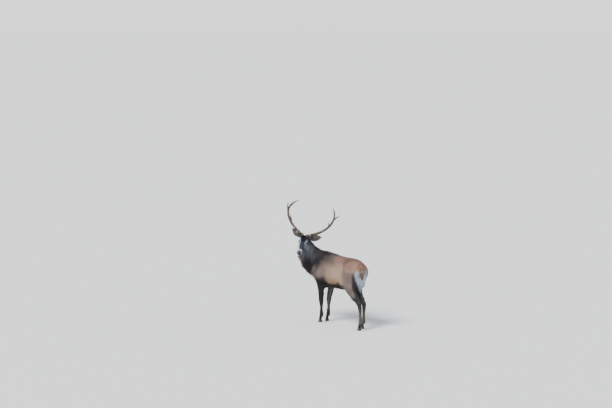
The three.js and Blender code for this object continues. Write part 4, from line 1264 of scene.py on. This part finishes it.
def make_skin(sizes, colours):
    """The skin: rounded, drawn in by the coat's depth, sculpted, painted and unwrapped."""
    mesh = thinned(rough_shell(sizes), sizes.skin_faces)
    mesh = refined(mesh)
    mesh.name = "skin"
    edges = edges_of(mesh)
    points = points_of(mesh)
    weights = region_weights(mesh, edges)
    normals = unit(soften(normals_of(mesh), edges, 6, 0.9))
    depth = soften(coat_depth(points, weights, sizes)[:, None], edges, 10, 0.9)[:, 0]
    points = points - normals * depth[:, None]
    points = sculpted(points, normals, weights)
    head = weights[:, REGIONS.index("head")]
    points += normals * (head_relief(points) * smoothstep(head, 0.3, 0.8))[:, None]
    points, rims = with_lids(points, sizes)
    set_points(mesh, points)
    normals = unit(soften(normals_of(mesh), edges, 3, 0.9))
    swirl = noise_field(edges, len(points), rounds=60, seed=11)
    paint, bare = markings(points, normals, weights, swirl, colours)
    paint, cup = paint_ears(points, normals, weights, paint, colours)
    paint = mix(paint, np.array(colours.nose), rims * 0.9)
    bare = np.maximum(bare, rims * 0.8)
    for k, name in enumerate(REGIONS):
        store(mesh, f"in_{name}", weights[:, k])
    store(mesh, "depth", depth)
    store(mesh, "lie", guided(points, normals, weights))
    store(mesh, "swirl", swirl)
    store(mesh, "tuftiness", noise_field(edges, len(points), rounds=8, seed=12))
    # The coat's colour, its markings with the painted light and shade, for the skin and the tufts.
    store(mesh, "marking", np.column_stack([paint, np.ones(len(paint))]))
    store(mesh, "bare", bare)
    store(mesh, "cup", cup)
    unwrap(mesh, weights)
    return show("skin", mesh, skin_material())


# ---------------------------------------------------------------- the coat


def tuft_shape(rings):
    """One tuft: its corners across and above its middle line, their share of its length, and faces."""
    tuft = bmesh.new()
    bmesh.ops.create_cone(
        tuft, cap_ends=True, cap_tris=False, segments=3, radius1=0.5, radius2=0.0, depth=1.0
    )
    for ring in range(rings):
        level = (ring + 1) / (rings + 1) - 0.5
        everything = tuft.verts[:] + tuft.edges[:] + tuft.faces[:]
        bmesh.ops.bisect_plane(tuft, geom=everything, plane_co=(0, 0, level), plane_no=(0, 0, 1))
    bmesh.ops.triangulate(tuft, faces=tuft.faces[:])
    bmesh.ops.recalc_face_normals(tuft, faces=tuft.faces[:])
    tuft.verts.index_update()
    corners = np.array([vert.co for vert in tuft.verts])
    faces = np.array([[vert.index for vert in face.verts] for face in tuft.faces])
    tuft.free()
    share = corners[:, 2] + 0.5
    thick = np.maximum(1 - share, 0.0)[:, None]
    section = np.divide(corners[:, :2], thick, out=np.zeros((len(corners), 2)), where=thick > 1e-6)
    return section, share, faces


class Roots:
    """Random places on the skin, with what the skin says there."""

    def __init__(self, skin, where, density, seed):
        mesh = skin.data
        self.rng = np.random.default_rng(seed)
        corners, loops = triangles_of(mesh)
        points = points_of(mesh)
        a, b, c = (points[corners[:, k]] for k in range(3))
        area = np.linalg.norm(np.cross(b - a, c - a), axis=1) / 2
        weight = np.cumsum(area * where(mesh)[corners].mean(axis=1))
        count = int(weight[-1] * density)
        if count < 10:
            raise ValueError("no place on the skin grows this coat")
        steps = (np.arange(count) + self.rng.random(count)) / count * weight[-1]
        chosen = np.minimum(np.searchsorted(weight, steps), len(corners) - 1)
        self.corners = corners[chosen]
        share = self.rng.random((count, 2))
        share = np.where(share.sum(axis=1, keepdims=True) > 1, 1 - share, share)
        self.share = np.column_stack([1 - share.sum(axis=1), share])
        self.mesh = mesh
        self.count = count
        self.points = self.read(points)
        self.normals = unit(self.read(normals_of(mesh)))
        maps = np.empty(len(mesh.loops) * 2, np.float32)
        mesh.uv_layers["OFBake"].data.foreach_get("uv", maps)
        self.maps = np.einsum("ij,ijk->ik", self.share, maps.reshape(-1, 2)[loops[chosen]])

    def read(self, values):
        """Values of the skin's vertices, or of its attribute of that name, at the roots."""
        if isinstance(values, str):
            values = recall(self.mesh, values)
        picked = values[self.corners]
        return np.einsum("ij,ij...->i...", self.share, picked)


PATCH = 0.003  # width of a tuft's patch on the map
TUFT_SINK = 0.8  # how deep a tuft's root sits in the skin, in thicknesses
TUFT_SPLAY = 1.15  # how much wider a tuft is than its three corners make it
TUFT_SOFTNESS = 0.62  # how far a tuft is shaded as the skin below it is
SHADE_SPREAD, TINT_SPREAD = 0.13, 0.025  # how far tufts differ in brightness and in colour
LOCK = 14  # tufts drawn towards each leading one


def tuft_mesh(name, corners, faces):
    """A mesh of tufts, from the corners of each and the faces of one. Also returns all the faces."""
    count, size = corners.shape[:2]
    faces = (faces[None] + (np.arange(count) * size)[:, None, None]).reshape(-1, 3)
    mesh = bpy.data.meshes.new(name)
    mesh.vertices.add(count * size)
    mesh.vertices.foreach_set("co", corners.astype(np.float32).ravel())
    mesh.loops.add(len(faces) * 3)
    mesh.loops.foreach_set("vertex_index", faces.astype(np.int32).ravel())
    mesh.polygons.add(len(faces))
    mesh.polygons.foreach_set("loop_start", np.arange(0, len(faces) * 3, 3, dtype=np.int32))
    mesh.update(calc_edges=True)
    return mesh, faces


def tuft_colours(roots, tone, paint):
    """A colour for each tuft: the paint, or the marking at its root, varied a little by chance."""
    colour = roots.read("marking")[:, :3] if paint is None else paint
    colour = colour * (tone * roots.rng.normal(1.0, SHADE_SPREAD, (roots.count, 1)).clip(0.6, 1.5))
    colour = colour * roots.rng.normal(1.0, TINT_SPREAD, (roots.count, 3)).clip(0.9, 1.1)
    return np.column_stack([np.clip(colour, 0, 1), np.ones(roots.count)])


def grow(name, roots, material, long, wide, thick, rise, lie, rings=0, gather=0.0, tone=1.0, paint=None):
    """Tufts at the roots. rise is how far the tip stands off; gather draws tips into locks."""
    section, share, faces = tuft_shape(rings)
    normals = roots.normals
    lie = unit(lie - normals * np.sum(lie * normals, axis=1, keepdims=True))
    side = np.cross(normals, lie)
    tips = roots.points + lie * long[:, None] + normals * rise[:, None]
    if gather:
        tips = gathered(roots.points, tips, gather, roots.rng)
    reach = tips - roots.points
    flatwise = reach - normals * np.sum(reach * normals, axis=1, keepdims=True)
    climb = np.sum(reach * normals, axis=1)[:, None, None] * (1 - (1 - share) ** 2)[None, :, None]
    sunk = (thick * TUFT_SINK)[:, None, None] * (1 - share)[None, :, None]
    middle = roots.points[:, None] + flatwise[:, None] * share[None, :, None]
    middle += normals[:, None] * (climb - sunk)
    # A plain tuft narrows evenly to its tip, and one with rings is widest before its middle.
    width_at = np.where(share < 1, 0.55 + 0.9 * share - 1.15 * share**2, 0.0) if rings else 1 - share
    across = section[:, 0] * width_at * TUFT_SPLAY
    above = section[:, 1] * width_at
    corners = middle + side[:, None] * (across[None, :, None] * wide[:, None, None])
    corners += normals[:, None] * (above[None, :, None] * thick[:, None, None] * 2)
    mesh, all_faces = tuft_mesh(name, corners, faces)
    size = len(share)
    store(mesh, "marking", np.repeat(tuft_colours(roots, tone, paint), size, axis=0))
    store(mesh, "reach", np.tile(share, roots.count))
    layer = mesh.uv_layers.new(name="OFBake")
    patch = np.column_stack([section[:, 0] * width_at + 0.15 * section[:, 1], share - 0.5]) * PATCH
    maps = (roots.maps[:, None] + patch[None]).reshape(-1, 2)
    layer.data.foreach_set("uv", maps[all_faces.ravel()].astype(np.float32).ravel())
    piece = show(name, mesh, material)
    soft = mix(normals_of(mesh), np.repeat(normals, size, axis=0), TUFT_SOFTNESS)
    mesh.normals_split_custom_set_from_vertices(unit(soft).astype(np.float32))
    return piece


def gathered(bases, tips, amount, rng):
    """Tips drawn towards the tip of the nearest leading tuft, which parts the hair into locks."""
    leaders = rng.choice(len(bases), max(len(bases) // LOCK, 1), replace=False)
    tree = KDTree(len(leaders))
    for index, leader in enumerate(leaders):
        tree.insert(bases[leader], index)
    tree.balance()
    nearest = np.array([tree.find(base)[1] for base in bases])
    lead = tips[leaders[nearest]] - bases[leaders[nearest]]
    own = tips - bases
    target = bases[leaders[nearest]] + unit(lead) * np.linalg.norm(own, axis=1, keepdims=True)
    pull = amount * rng.uniform(0.6, 1.0, len(bases))[:, None]
    return tips + (target - tips) * pull


def wander(roots, lie, amount):
    """The lie turned a little this way and that, in soft whorls and by each tuft's own chance."""
    side = np.cross(lie, roots.normals)
    turn = amount * (0.5 * roots.read("swirl") + 0.5 * roots.read("tuftiness"))
    turn += amount * 0.6 * roots.rng.normal(size=roots.count)
    return unit(lie + side * turn[:, None])


def spread(roots, value, share=0.25):
    """A size that differs from tuft to tuft."""
    return value * roots.rng.normal(1.0, share, roots.count).clip(0.45, 1.6)


def coat_piece(name, skin, material, density, seed, where, long, wide, thick, rise, turn=0.12, **more):
    """One piece of coat. where tells how densely it grows on a mesh; long, wide and rise read roots."""
    roots = Roots(skin, where, density, seed)
    lie = wander(roots, roots.read("lie"), turn)
    depth = roots.read("depth")
    piece = grow(
        name,
        roots,
        material,
        long=spread(roots, np.clip(long(roots), 0.002, None)),
        wide=spread(roots, wide(roots)),
        thick=np.full(roots.count, thick),
        rise=np.clip(spread(roots, rise(roots), 0.3), 0, depth * 1.05 + 0.002),
        lie=lie,
        **more,
    )
    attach(piece, "root")
    return piece


def even(size):
    """The same size at all roots."""
    return lambda roots: np.full(roots.count, size)


def place_on(mesh):
    """Forward, left and up of a mesh's vertices."""
    return body_place(points_of(mesh))


def region(mesh, *names):
    """How much the vertices of the skin belong to these regions."""
    return sum(recall(mesh, f"in_{name}") for name in names)


# ---------------------------------------------------------------- antlers, eyes, hooves


GROOVE_SEEDS = {"left": 21, "right": 22}  # random draws of the antlers' grooves


def make_antler(side, colours):
    """One antler: its parts made one, rounded, grooved along its length and pearled."""
    parts = sorted(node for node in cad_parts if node.startswith(f"antler_{side}_"))
    voxels = {"mode": "VOXEL", "voxel_size": 0.0026, "adaptivity": 0.0}
    mesh = shaped(joined(parts, 0.0016), ("REMESH", voxels))
    mesh.name = f"antler_{side}"
    edges = edges_of(mesh)
    points = soften(points_of(mesh), edges, 16, 0.55, 0.95)
    set_points(mesh, points)
    normals = normals_of(mesh)
    # Normals round a beam all stand square to it, so what they share least is the way it runs.
    spread_of = np.einsum("ij,ik->ijk", normals, normals).reshape(-1, 9)
    spread_of = soften(spread_of, edges, 40, 0.9).reshape(-1, 3, 3)
    grain = np.linalg.eigh(spread_of)[1][:, :, 0]
    lines = streaks_along(points, edges, grain, rounds=26, seed=GROOVE_SEEDS[side])
    lumps = noise_field(edges, len(points), rounds=3, seed=23)
    beam = points_of(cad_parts[f"antler_{side}_beam_lower"].data)
    beam = np.vstack([beam, points_of(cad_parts[f"antler_{side}_beam_upper"].data)])
    tip = np.zeros(len(points))
    for node in parts:
        if node.endswith("tine"):
            corners = points_of(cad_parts[node].data)
            away = np.min(np.linalg.norm(corners[:, None] - beam[None], axis=2), axis=1)
            far = np.linalg.norm(points - corners[np.argmax(away)], axis=1)
            reach = min(0.5 * away.max(), 0.17)
            tip = np.maximum(tip, smoothstep(far, reach, reach * 0.15))
    from_base = np.linalg.norm(points - beside_head(ANTLER_BASE, side), axis=1)
    low = np.exp(-from_base / 0.35)
    burr = bump(from_base, 0.030, 0.010)
    lift = (1 - tip) * (0.0009 * lines + (0.0002 + 0.0007 * low) * lumps.clip(-1, 2.0))
    lift += burr * (0.0035 + 0.0012 * lumps.clip(-1.5, 1.5))
    set_points(mesh, points + normals * lift[:, None])
    store(mesh, "tip", tip)
    store(mesh, "ridge", smoothstep(lines + 0.35 * lumps, 0.1, 1.3))
    piece = show(f"antler_{side}", mesh, antler_material(colours))
    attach(piece, "root")
    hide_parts(*parts)
    return piece


def streaks_along(points, edges, grain, rounds, seed):
    """Random numbers drawn out along the grain, which leaves long ridges and grooves."""
    a, b = edges.T
    way = unit(points[b] - points[a])
    weight = np.abs(np.sum(way * grain[a], axis=1)) ** 8 + 1e-3
    total = np.bincount(a, weight, len(points)) + np.bincount(b, weight, len(points))
    values = np.random.default_rng(seed).normal(size=len(points))
    for _ in range(rounds):
        pulled = np.bincount(a, weight * values[b], len(points))
        pulled += np.bincount(b, weight * values[a], len(points))
        values = 0.3 * values + 0.7 * pulled / total
    return (values - values.mean()) / values.std()


def make_eye(side, colours):
    """An eyeball that bulges in front, whose iris and pupil are kept as attributes."""
    middle, axes = eye_frame(side)
    ball = bmesh.new()
    bmesh.ops.create_uvsphere(ball, u_segments=48, v_segments=32, radius=EYE_RADIUS)
    turn = Matrix(axes[[1, 2, 0]].T.tolist())
    if turn.determinant() < 0:
        bmesh.ops.scale(ball, verts=ball.verts, vec=(-1, 1, 1))
        bmesh.ops.reverse_faces(ball, faces=ball.faces[:])
    mesh = bpy.data.meshes.new(f"eye_{side}")
    ball.to_mesh(mesh)
    ball.free()
    points = points_of(mesh)
    a, b, out = points.T
    points[:, 2] += EYE_BULGE * smoothstep(out, 0.35 * EYE_RADIUS, 0.95 * EYE_RADIUS)
    behind = 2.0  # outside the iris and the pupil, for the back of the ball
    store(mesh, "iris", np.where(out > 0, np.hypot(a, b) / IRIS_RADIUS, behind))
    pupil = np.hypot(a / PUPIL_HALF[0], b / PUPIL_HALF[1])
    store(mesh, "pupil", np.where(out > 0, pupil, behind))
    set_points(mesh, points @ axes[[1, 2, 0]] + middle)
    piece = show(f"eyeball_{side}", mesh, eye_material(colours))
    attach(piece, "root")
    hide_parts(f"eye_{side}")
    return piece


SOLE_CREASE, TOP_CREASE = 0.9, 0.55  # how sharp a claw's edges stay when it is rounded
CORE_SHARE, CORE_RISE = 0.72, 0.014  # what a claw carries up inside the leg: its width, and its height


def prepare_claw(claw):
    """Creases a claw's sole and top, and carries its top up inside the leg."""
    bmesh.ops.dissolve_limit(claw, angle_limit=math.radians(2), verts=claw.verts, edges=claw.edges)
    crease = claw.edges.layers.float.new("crease_edge")
    sole = min(claw.faces, key=lambda face: face.calc_center_median().z)
    top = max(claw.faces, key=lambda face: face.calc_center_median().z)
    for edge in sole.edges:
        edge[crease] = SOLE_CREASE
    for edge in top.edges:
        edge[crease] = TOP_CREASE
    raised = bmesh.ops.extrude_face_region(claw, geom=[top])["geom"]
    verts = [item for item in raised if isinstance(item, bmesh.types.BMVert)]
    middle = sum((vert.co for vert in verts), Vector()) / len(verts)
    about = Matrix.Translation(-middle)
    bmesh.ops.scale(claw, verts=verts, vec=(CORE_SHARE, CORE_SHARE, CORE_SHARE), space=about)
    bmesh.ops.translate(claw, verts=verts, vec=(0, 0, CORE_RISE))
    if top.is_valid:
        bmesh.ops.delete(claw, geom=[top], context="FACES_ONLY")


def make_hooves(leg, colours):
    """The two claws and two dew claws of a foot, rounded."""
    end, side = leg.split("leg_")
    whole = bmesh.new()
    claws = [f"hoof_{end}_{side}_{place}" for place in ("outer", "inner")]
    dewclaws = [f"dewclaw_{end}_{side}_{place}" for place in ("outer", "inner")]
    for node in claws + dewclaws:
        part = node_copy(node)
        if node in claws:
            prepare_claw(part)
        loose = bpy.data.meshes.new(node)
        part.to_mesh(loose)
        part.free()
        smooth = shaped(loose, ("SUBSURF", {"levels": 3, "render_levels": 3}))
        whole.from_mesh(smooth)
    mesh = bpy.data.meshes.new(f"hooves_{leg}")
    whole.to_mesh(mesh)
    whole.free()
    points = points_of(mesh)
    points[:, 2] = np.maximum(points[:, 2], 0.0)
    set_points(mesh, points)
    piece = show(f"hooves_{leg}", mesh, hoof_material(colours))
    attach(piece, "root")
    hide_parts(*claws, *dewclaws)
    return piece


# ---------------------------------------------------------------- operators


def settings():
    """The sizes, the colours and the studio that the user sees in the sidebar."""
    scene = bpy.context.scene
    return scene.stag_sizes, scene.stag_colours, scene.stag_studio


class STAG_OT_skin(bpy.types.Operator):
    """Make the one skin that replaces all the flesh"""

    bl_idname = "stag.skin"
    bl_label = "Skin"

    def execute(self, context):
        sizes, colours, _ = settings()
        skin = make_skin(sizes, colours)
        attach(skin, "root")
        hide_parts(*FLESH)
        return {"FINISHED"}


def tufts(density):
    """Tufts to a square metre: all of them."""
    return density


class STAG_OT_body_coat(bpy.types.Operator):
    """Grow the coat of the trunk and the thighs"""

    bl_idname = "stag.body_coat"
    bl_label = "Body coat"

    def execute(self, context):
        skin = bpy.data.objects["skin"]
        fur = fur_material("fur_body", 0.62, 0.15)

        def part(side, end):
            def where(mesh):
                forward, left, up = place_on(mesh)
                mine = region(mesh, "trunk", "gaskin", "forearm")
                mine = mine * (0.6 + 0.8 * smoothstep(up, 0.78, 0.66)) * (left * side > 0)
                return mine * ((forward > 0) if end > 0 else (forward <= 0))

            return where

        def long(roots):
            forward, _, up = body_place(roots.points)
            size = mix(0.024, 0.036, smoothstep(up, 0.74, 0.66) * smoothstep(forward, -0.4, -0.3))
            size = mix(size, 0.034, smoothstep(forward, -0.50, -0.58))
            size = mix(size, 0.040, smoothstep(forward, 0.30, 0.48) * smoothstep(up, 1.0, 1.12))
            return mix(size, 0.017, smoothstep(up, 0.70, 0.52))

        for side, name in ((1, "left"), (-1, "right")):
            for end, place in ((1, "fore"), (-1, "hind")):
                piece = coat_piece(
                    f"coat_{place}_{name}",
                    skin,
                    fur,
                    density=tufts(72000),
                    seed=31 + side + 5 * end,
                    where=part(side, end),
                    long=long,
                    wide=even(0.0040),
                    thick=0.0008,
                    rise=lambda roots: 0.80 * roots.read("depth") * (1 + 0.2 * roots.read("tuftiness")),
                    turn=0.13,
                )
        return {"FINISHED"}


class STAG_OT_mane(bpy.types.Operator):
    """Grow the long mane of the neck, the throat and the breast"""

    bl_idname = "stag.mane"
    bl_label = "Mane"

    def execute(self, context):
        skin = bpy.data.objects["skin"]
        fur = fur_material("fur_mane", 0.6, 0.12)

        def part(side):
            def where(mesh):
                left, up = place_on(mesh)[1:]
                middle = np.interp(up, *NECK_MIDDLE)
                return region(mesh, "neck") * ((left - middle) * side > 0)

            return where

        for side, name in ((1, "left"), (-1, "right")):
            piece = coat_piece(
                f"mane_{name}",
                skin,
                fur,
                density=tufts(31000),
                seed=41 + side,
                where=part(side),
                long=lambda roots: 0.020 + 1.45 * roots.read("depth"),
                wide=lambda roots: 0.0042 + 0.06 * roots.read("depth"),
                thick=0.0012,
                rise=lambda roots: 0.80 * roots.read("depth") * (1 + 0.15 * roots.read("tuftiness")),
                rings=2,
                gather=0.45,
                turn=0.2,
            )
            under = coat_piece(
                f"mane_under_{name}",
                skin,
                fur,
                density=tufts(50000),
                seed=45 + side,
                where=part(side),
                long=lambda roots: 0.016 + 0.8 * roots.read("depth"),
                wide=even(0.0046),
                thick=0.001,
                rise=lambda roots: 0.45 * roots.read("depth"),
                turn=0.2,
                tone=0.85,
            )
        return {"FINISHED"}


class STAG_OT_leg_coat(bpy.types.Operator):
    """Grow the short sleek coat below the knees and the hocks"""

    bl_idname = "stag.leg_coat"
    bl_label = "Leg coat"

    def execute(self, context):
        skin = bpy.data.objects["skin"]

        def where(mesh):
            up = place_on(mesh)[2]
            return region(mesh, "shank") * (1 + 0.8 * smoothstep(up, 0.14, 0.08))

        piece = coat_piece(
            "coat_shanks",
            skin,
            fur_material("fur_leg", 0.55, 0.1),
            density=tufts(125000),
            seed=51,
            where=where,
            long=lambda roots: mix(0.011, 0.018, smoothstep(roots.points[:, 2], 0.10, 0.07)),
            wide=even(0.0022),
            thick=0.0006,
            rise=lambda roots: 0.6 * roots.read("depth"),
            turn=0.08,
        )
        return {"FINISHED"}


def grow_face(skin, fur):
    """The short hair of the face, shortest at the muzzle."""

    def where(mesh):
        return region(mesh, "head") * np.clip(1 - 1.6 * recall(mesh, "bare"), 0, 1)

    def long(roots):
        along = head_place(roots.points)[0]
        size = mix(0.0125, 0.0065, smoothstep(along, 0.10, 0.30))
        return mix(size, 0.020, smoothstep(along, 0.08, 0.0))

    def wide(roots):
        return mix(0.0022, 0.0013, smoothstep(head_place(roots.points)[0], 0.10, 0.30))

    face = coat_piece(
        "coat_face",
        skin,
        fur,
        density=tufts(290000),
        seed=61,
        where=where,
        long=long,
        wide=wide,
        thick=0.0004,
        rise=lambda roots: 0.55 * roots.read("depth"),
        turn=0.10,
    )


def grow_forelock(skin, fur):
    """The curls between the antlers and on the forehead."""

    def where(mesh):
        along, left, rise = head_place(points_of(mesh))
        mine = region(mesh, "head", "neck") * smoothstep(along, 0.13, 0.06)
        mine = mine * smoothstep(along, -0.09, -0.03)
        return mine * smoothstep(rise, 0.03, 0.055) * smoothstep(np.abs(left), 0.075, 0.05)

    curls = coat_piece(
        "coat_forelock",
        skin,
        fur,
        density=tufts(180000),
        seed=62,
        where=where,
        long=even(0.032),
        wide=even(0.0030),
        thick=0.0008,
        rise=even(0.009),
        turn=0.5,
        rings=1,
        gather=0.5,
    )


def grow_ears(skin, fur):
    """The short hair of the ears."""
    ears = coat_piece(
        "coat_ears",
        skin,
        fur,
        density=tufts(210000),
        seed=63,
        where=lambda mesh: region(mesh, "ear"),
        long=even(0.011),
        wide=even(0.0020),
        thick=0.0004,
        rise=even(0.0016),
        turn=0.12,
    )


# Painted light and shade: the hairs in the left ear's hollow are painted lighter, as if catching the
# light, and those in the right ear's darker, as if in its own shade.
EAR_SHADE = {"left": 1.15, "right": 0.45}
EAR_HOLE = 0.055  # how far from its root an ear's opening lies
EAR_HALF_WIDTH = 0.034


def grow_ear_hair(skin, fur, colours):
    """The long pale hairs inside the ears, which grow in from both edges and towards the tip."""

    def where(mesh):
        places = points_of(mesh)
        amount = recall(mesh, "cup") ** 2
        for side in SIDES:
            root, _, reach, _ = ear_axes(side)
            hole = root + EAR_HOLE * reach
            amount *= smoothstep(np.linalg.norm(places - hole, axis=1), 0.018, 0.05)
        return amount

    hollow = Roots(skin, where, tufts(110000), 64)
    lie = hollow.read("lie")
    size = np.full(hollow.count, 0.024)
    shade = np.ones(hollow.count)
    for side, sign in SIDES.items():
        root, _, reach, opening = ear_axes(side)
        mine = head_place(hollow.points)[1] * sign > 0
        away = hollow.points - root
        run = away @ reach
        aside = away - run[:, None] * reach - (away @ opening)[:, None] * opening
        inward = -aside / EAR_HALF_WIDTH
        shade = np.where(mine, EAR_SHADE[side], shade)
        lie = np.where(mine[:, None], unit(reach + 0.9 * inward), lie)
        size = np.where(mine, mix(0.034, 0.018, smoothstep(run, 0.05, 0.18)), size)
    hairs = grow(
        "ear_hair",
        hollow,
        fur,
        long=spread(hollow, size, 0.3),
        wide=np.full(hollow.count, 0.0017),
        thick=np.full(hollow.count, 0.0005),
        rise=spread(hollow, np.full(hollow.count, 0.007)),
        lie=wander(hollow, lie, 0.12),
        rings=1,
        gather=0.3,
        # The pale hairs' colour, with the painted light and shade of each ear.
        paint=shade[:, None] * np.array(colours.ear_inside),
    )
    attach(hairs, "root")


class STAG_OT_head_coat(bpy.types.Operator):
    """Grow the short hair of the face, the curls of the forehead and the hair of the ears"""

    bl_idname = "stag.head_coat"
    bl_label = "Head coat"

    def execute(self, context):
        skin = bpy.data.objects["skin"]
        fur = fur_material("fur_face", 0.6, 0.1)
        grow_face(skin, fur)
        grow_forelock(skin, fur)
        grow_ears(skin, fur)
        grow_ear_hair(skin, fur, settings()[1])
        return {"FINISHED"}


class STAG_OT_tail_coat(bpy.types.Operator):
    """Grow the hair of the tail and the fringe of the rump patch"""

    bl_idname = "stag.tail_coat"
    bl_label = "Tail coat"

    def execute(self, context):
        skin = bpy.data.objects["skin"]

        def where(mesh):
            forward, left, up = place_on(mesh)
            patch = smoothstep(forward, -0.52, -0.58) * smoothstep(np.abs(left), 0.15, 0.11)
            patch = patch * smoothstep(up, 0.68, 0.76) * smoothstep(up, 1.08, 1.02)
            return region(mesh, "tail") * 1.6 + 0.5 * patch * region(mesh, "trunk")

        piece = coat_piece(
            "coat_tail",
            skin,
            fur_material("fur_tail", 0.6, 0.15),
            density=tufts(120000),
            seed=71,
            where=where,
            long=lambda roots: mix(0.034, 0.042, roots.read("in_tail")),
            wide=even(0.0036),
            thick=0.0009,
            rise=lambda roots: 0.9 * roots.read("depth"),
            rings=1,
            gather=0.35,
            turn=0.15,
        )
        return {"FINISHED"}


class STAG_OT_antlers(bpy.types.Operator):
    """Make the two antlers"""

    bl_idname = "stag.antlers"
    bl_label = "Antlers"

    def execute(self, context):
        for side in SIDES:
            make_antler(side, settings()[1])
        return {"FINISHED"}


class STAG_OT_eyes(bpy.types.Operator):
    """Make the two eyes"""

    bl_idname = "stag.eyes"
    bl_label = "Eyes"

    def execute(self, context):
        for side in SIDES:
            make_eye(side, settings()[1])
        return {"FINISHED"}


class STAG_OT_hooves(bpy.types.Operator):
    """Make the hooves and the dew claws"""

    bl_idname = "stag.hooves"
    bl_label = "Hooves"

    def execute(self, context):
        for leg in LEGS:
            make_hooves(leg, settings()[1])
        return {"FINISHED"}


# The main light, from the camera: how far to its left, how high above the horizon, and how soft.
KEY_ASIDE, KEY_HEIGHT, KEY_SOFTNESS = (math.radians(degrees) for degrees in (42, 48, 24))
LOW_GLOW, HIGH_GLOW = (1.0, 1.0, 1.0, 1), (0.45, 0.475, 0.53, 1)
CAMERA_LIFT = 1.1  # how far above the ground, at right angles to its line of sight, the camera stands


def from_angles(azimuth, elevation):
    """The direction towards something at this turn round the stag and this height."""
    level = math.cos(elevation)
    return Vector((math.sin(azimuth) * level, -math.cos(azimuth) * level, math.sin(elevation)))


class STAG_OT_studio(bpy.types.Operator):
    """Set up the floor, the lights and the camera"""

    bl_idname = "stag.studio"
    bl_label = "Studio"

    def execute(self, context):
        studio = settings()[2]
        scene = context.scene
        self.lay_floor(studio)
        self.place_key_light(scene, studio)
        self.light_room(scene, studio)
        self.place_camera(scene, studio)
        return {"FINISHED"}

    def lay_floor(self, studio):
        """A floor so wide that its edge is out of sight."""
        plate = bmesh.new()
        bmesh.ops.create_grid(plate, x_segments=1, y_segments=1, size=studio.floor_size / 2)
        mesh = bpy.data.meshes.new("studio_floor")
        plate.to_mesh(mesh)
        plate.free()
        floor = show("studio_floor", mesh, floor_material(studio.floor))

    def place_key_light(self, scene, studio):
        """The main light, which moves round with the camera."""
        sun = bpy.data.lights.new("key_light", "SUN")
        sun.energy = studio.key
        sun.angle = KEY_SOFTNESS
        key = bpy.data.objects.new("key_light", sun)
        toward = from_angles(studio.azimuth - KEY_ASIDE, KEY_HEIGHT)
        key.rotation_euler = toward.to_track_quat("Z", "Y").to_euler()
        scene.collection.objects.link(key)

    def light_room(self, scene, studio):
        """Soft light from all round, brightest low down, where it meets the floor."""
        world = bpy.data.worlds.new("studio")
        world.use_nodes = True
        tree = world.node_tree
        where = tree.nodes.new("ShaderNodeTexCoord")
        split = tree.nodes.new("ShaderNodeSeparateXYZ")
        ramp = tree.nodes.new("ShaderNodeValToRGB")
        stops = ((0.04, LOW_GLOW), (0.30, HIGH_GLOW))
        for element, (position, colour) in zip(ramp.color_ramp.elements, stops):
            element.position = position
            element.color = colour
        tree.links.new(where.outputs["Generated"], split.inputs[0])
        tree.links.new(split.outputs["Z"], ramp.inputs[0])
        background = tree.nodes["Background"]
        tree.links.new(ramp.outputs[0], background.inputs["Color"])
        background.inputs["Strength"].default_value = studio.fill
        scene.world = world

    def place_camera(self, scene, studio):
        """A long lens whose picture is as wide as view_width at the stag."""
        back = from_angles(studio.azimuth, studio.elevation)
        right = Vector((math.cos(studio.azimuth), math.sin(studio.azimuth), 0))
        upward = back.cross(right)
        ground = Vector((MIDDLE_X, SHOULDER_Y, 0))
        target = ground - right * studio.aim_left + upward * studio.aim_up
        lens = bpy.data.cameras.new("camera")
        lens.sensor_width = 36
        lens.lens = lens.sensor_width * studio.distance / studio.view_width
        lens.clip_end = 1000
        camera = bpy.data.objects.new("camera", lens)
        camera.location = ground + upward * CAMERA_LIFT + back * studio.distance
        camera.rotation_euler = (camera.location - target).to_track_quat("Z", "Y").to_euler()
        scene.collection.objects.link(camera)
        scene.camera = camera


class STAG_PT_panel(bpy.types.Panel):
    """Lists the stag's pieces in the sidebar"""

    bl_label = "Red deer stag"
    bl_space_type = "VIEW_3D"
    bl_region_type = "UI"
    bl_category = "Stag"

    def draw(self, context):
        for operator in OPERATORS:
            self.layout.operator(operator.bl_idname)
        for group in settings():
            box = self.layout.box()
            for name in group.bl_rna.properties.keys():
                if name not in ("rna_type", "name"):
                    box.prop(group, name)


OPERATORS = (
    STAG_OT_skin,
    STAG_OT_eyes,
    STAG_OT_antlers,
    STAG_OT_hooves,
    STAG_OT_body_coat,
    STAG_OT_mane,
    STAG_OT_leg_coat,
    STAG_OT_head_coat,
    STAG_OT_tail_coat,
    STAG_OT_studio,
)
GROUPS = {"stag_sizes": StagSizes, "stag_colours": StagColours, "stag_studio": StudioSettings}


def register():
    """Makes the operators, the panel and their settings known."""
    for group in GROUPS.values():
        bpy.utils.register_class(group)
    for name, group in GROUPS.items():
        setattr(bpy.types.Scene, name, bpy.props.PointerProperty(type=group))
    for operator in (*OPERATORS, STAG_PT_panel):
        bpy.utils.register_class(operator)


def unregister():
    """Takes back what register() did."""
    for operator in reversed((*OPERATORS, STAG_PT_panel)):
        bpy.utils.unregister_class(operator)
    for name, group in GROUPS.items():
        delattr(bpy.types.Scene, name)
        bpy.utils.unregister_class(group)


def main():
    """Builds every piece in turn."""
    register()
    for operator in OPERATORS:
        section, name = operator.bl_idname.split(".")
        getattr(getattr(bpy.ops, section), name)()


if __name__ == "__main__":
    main()
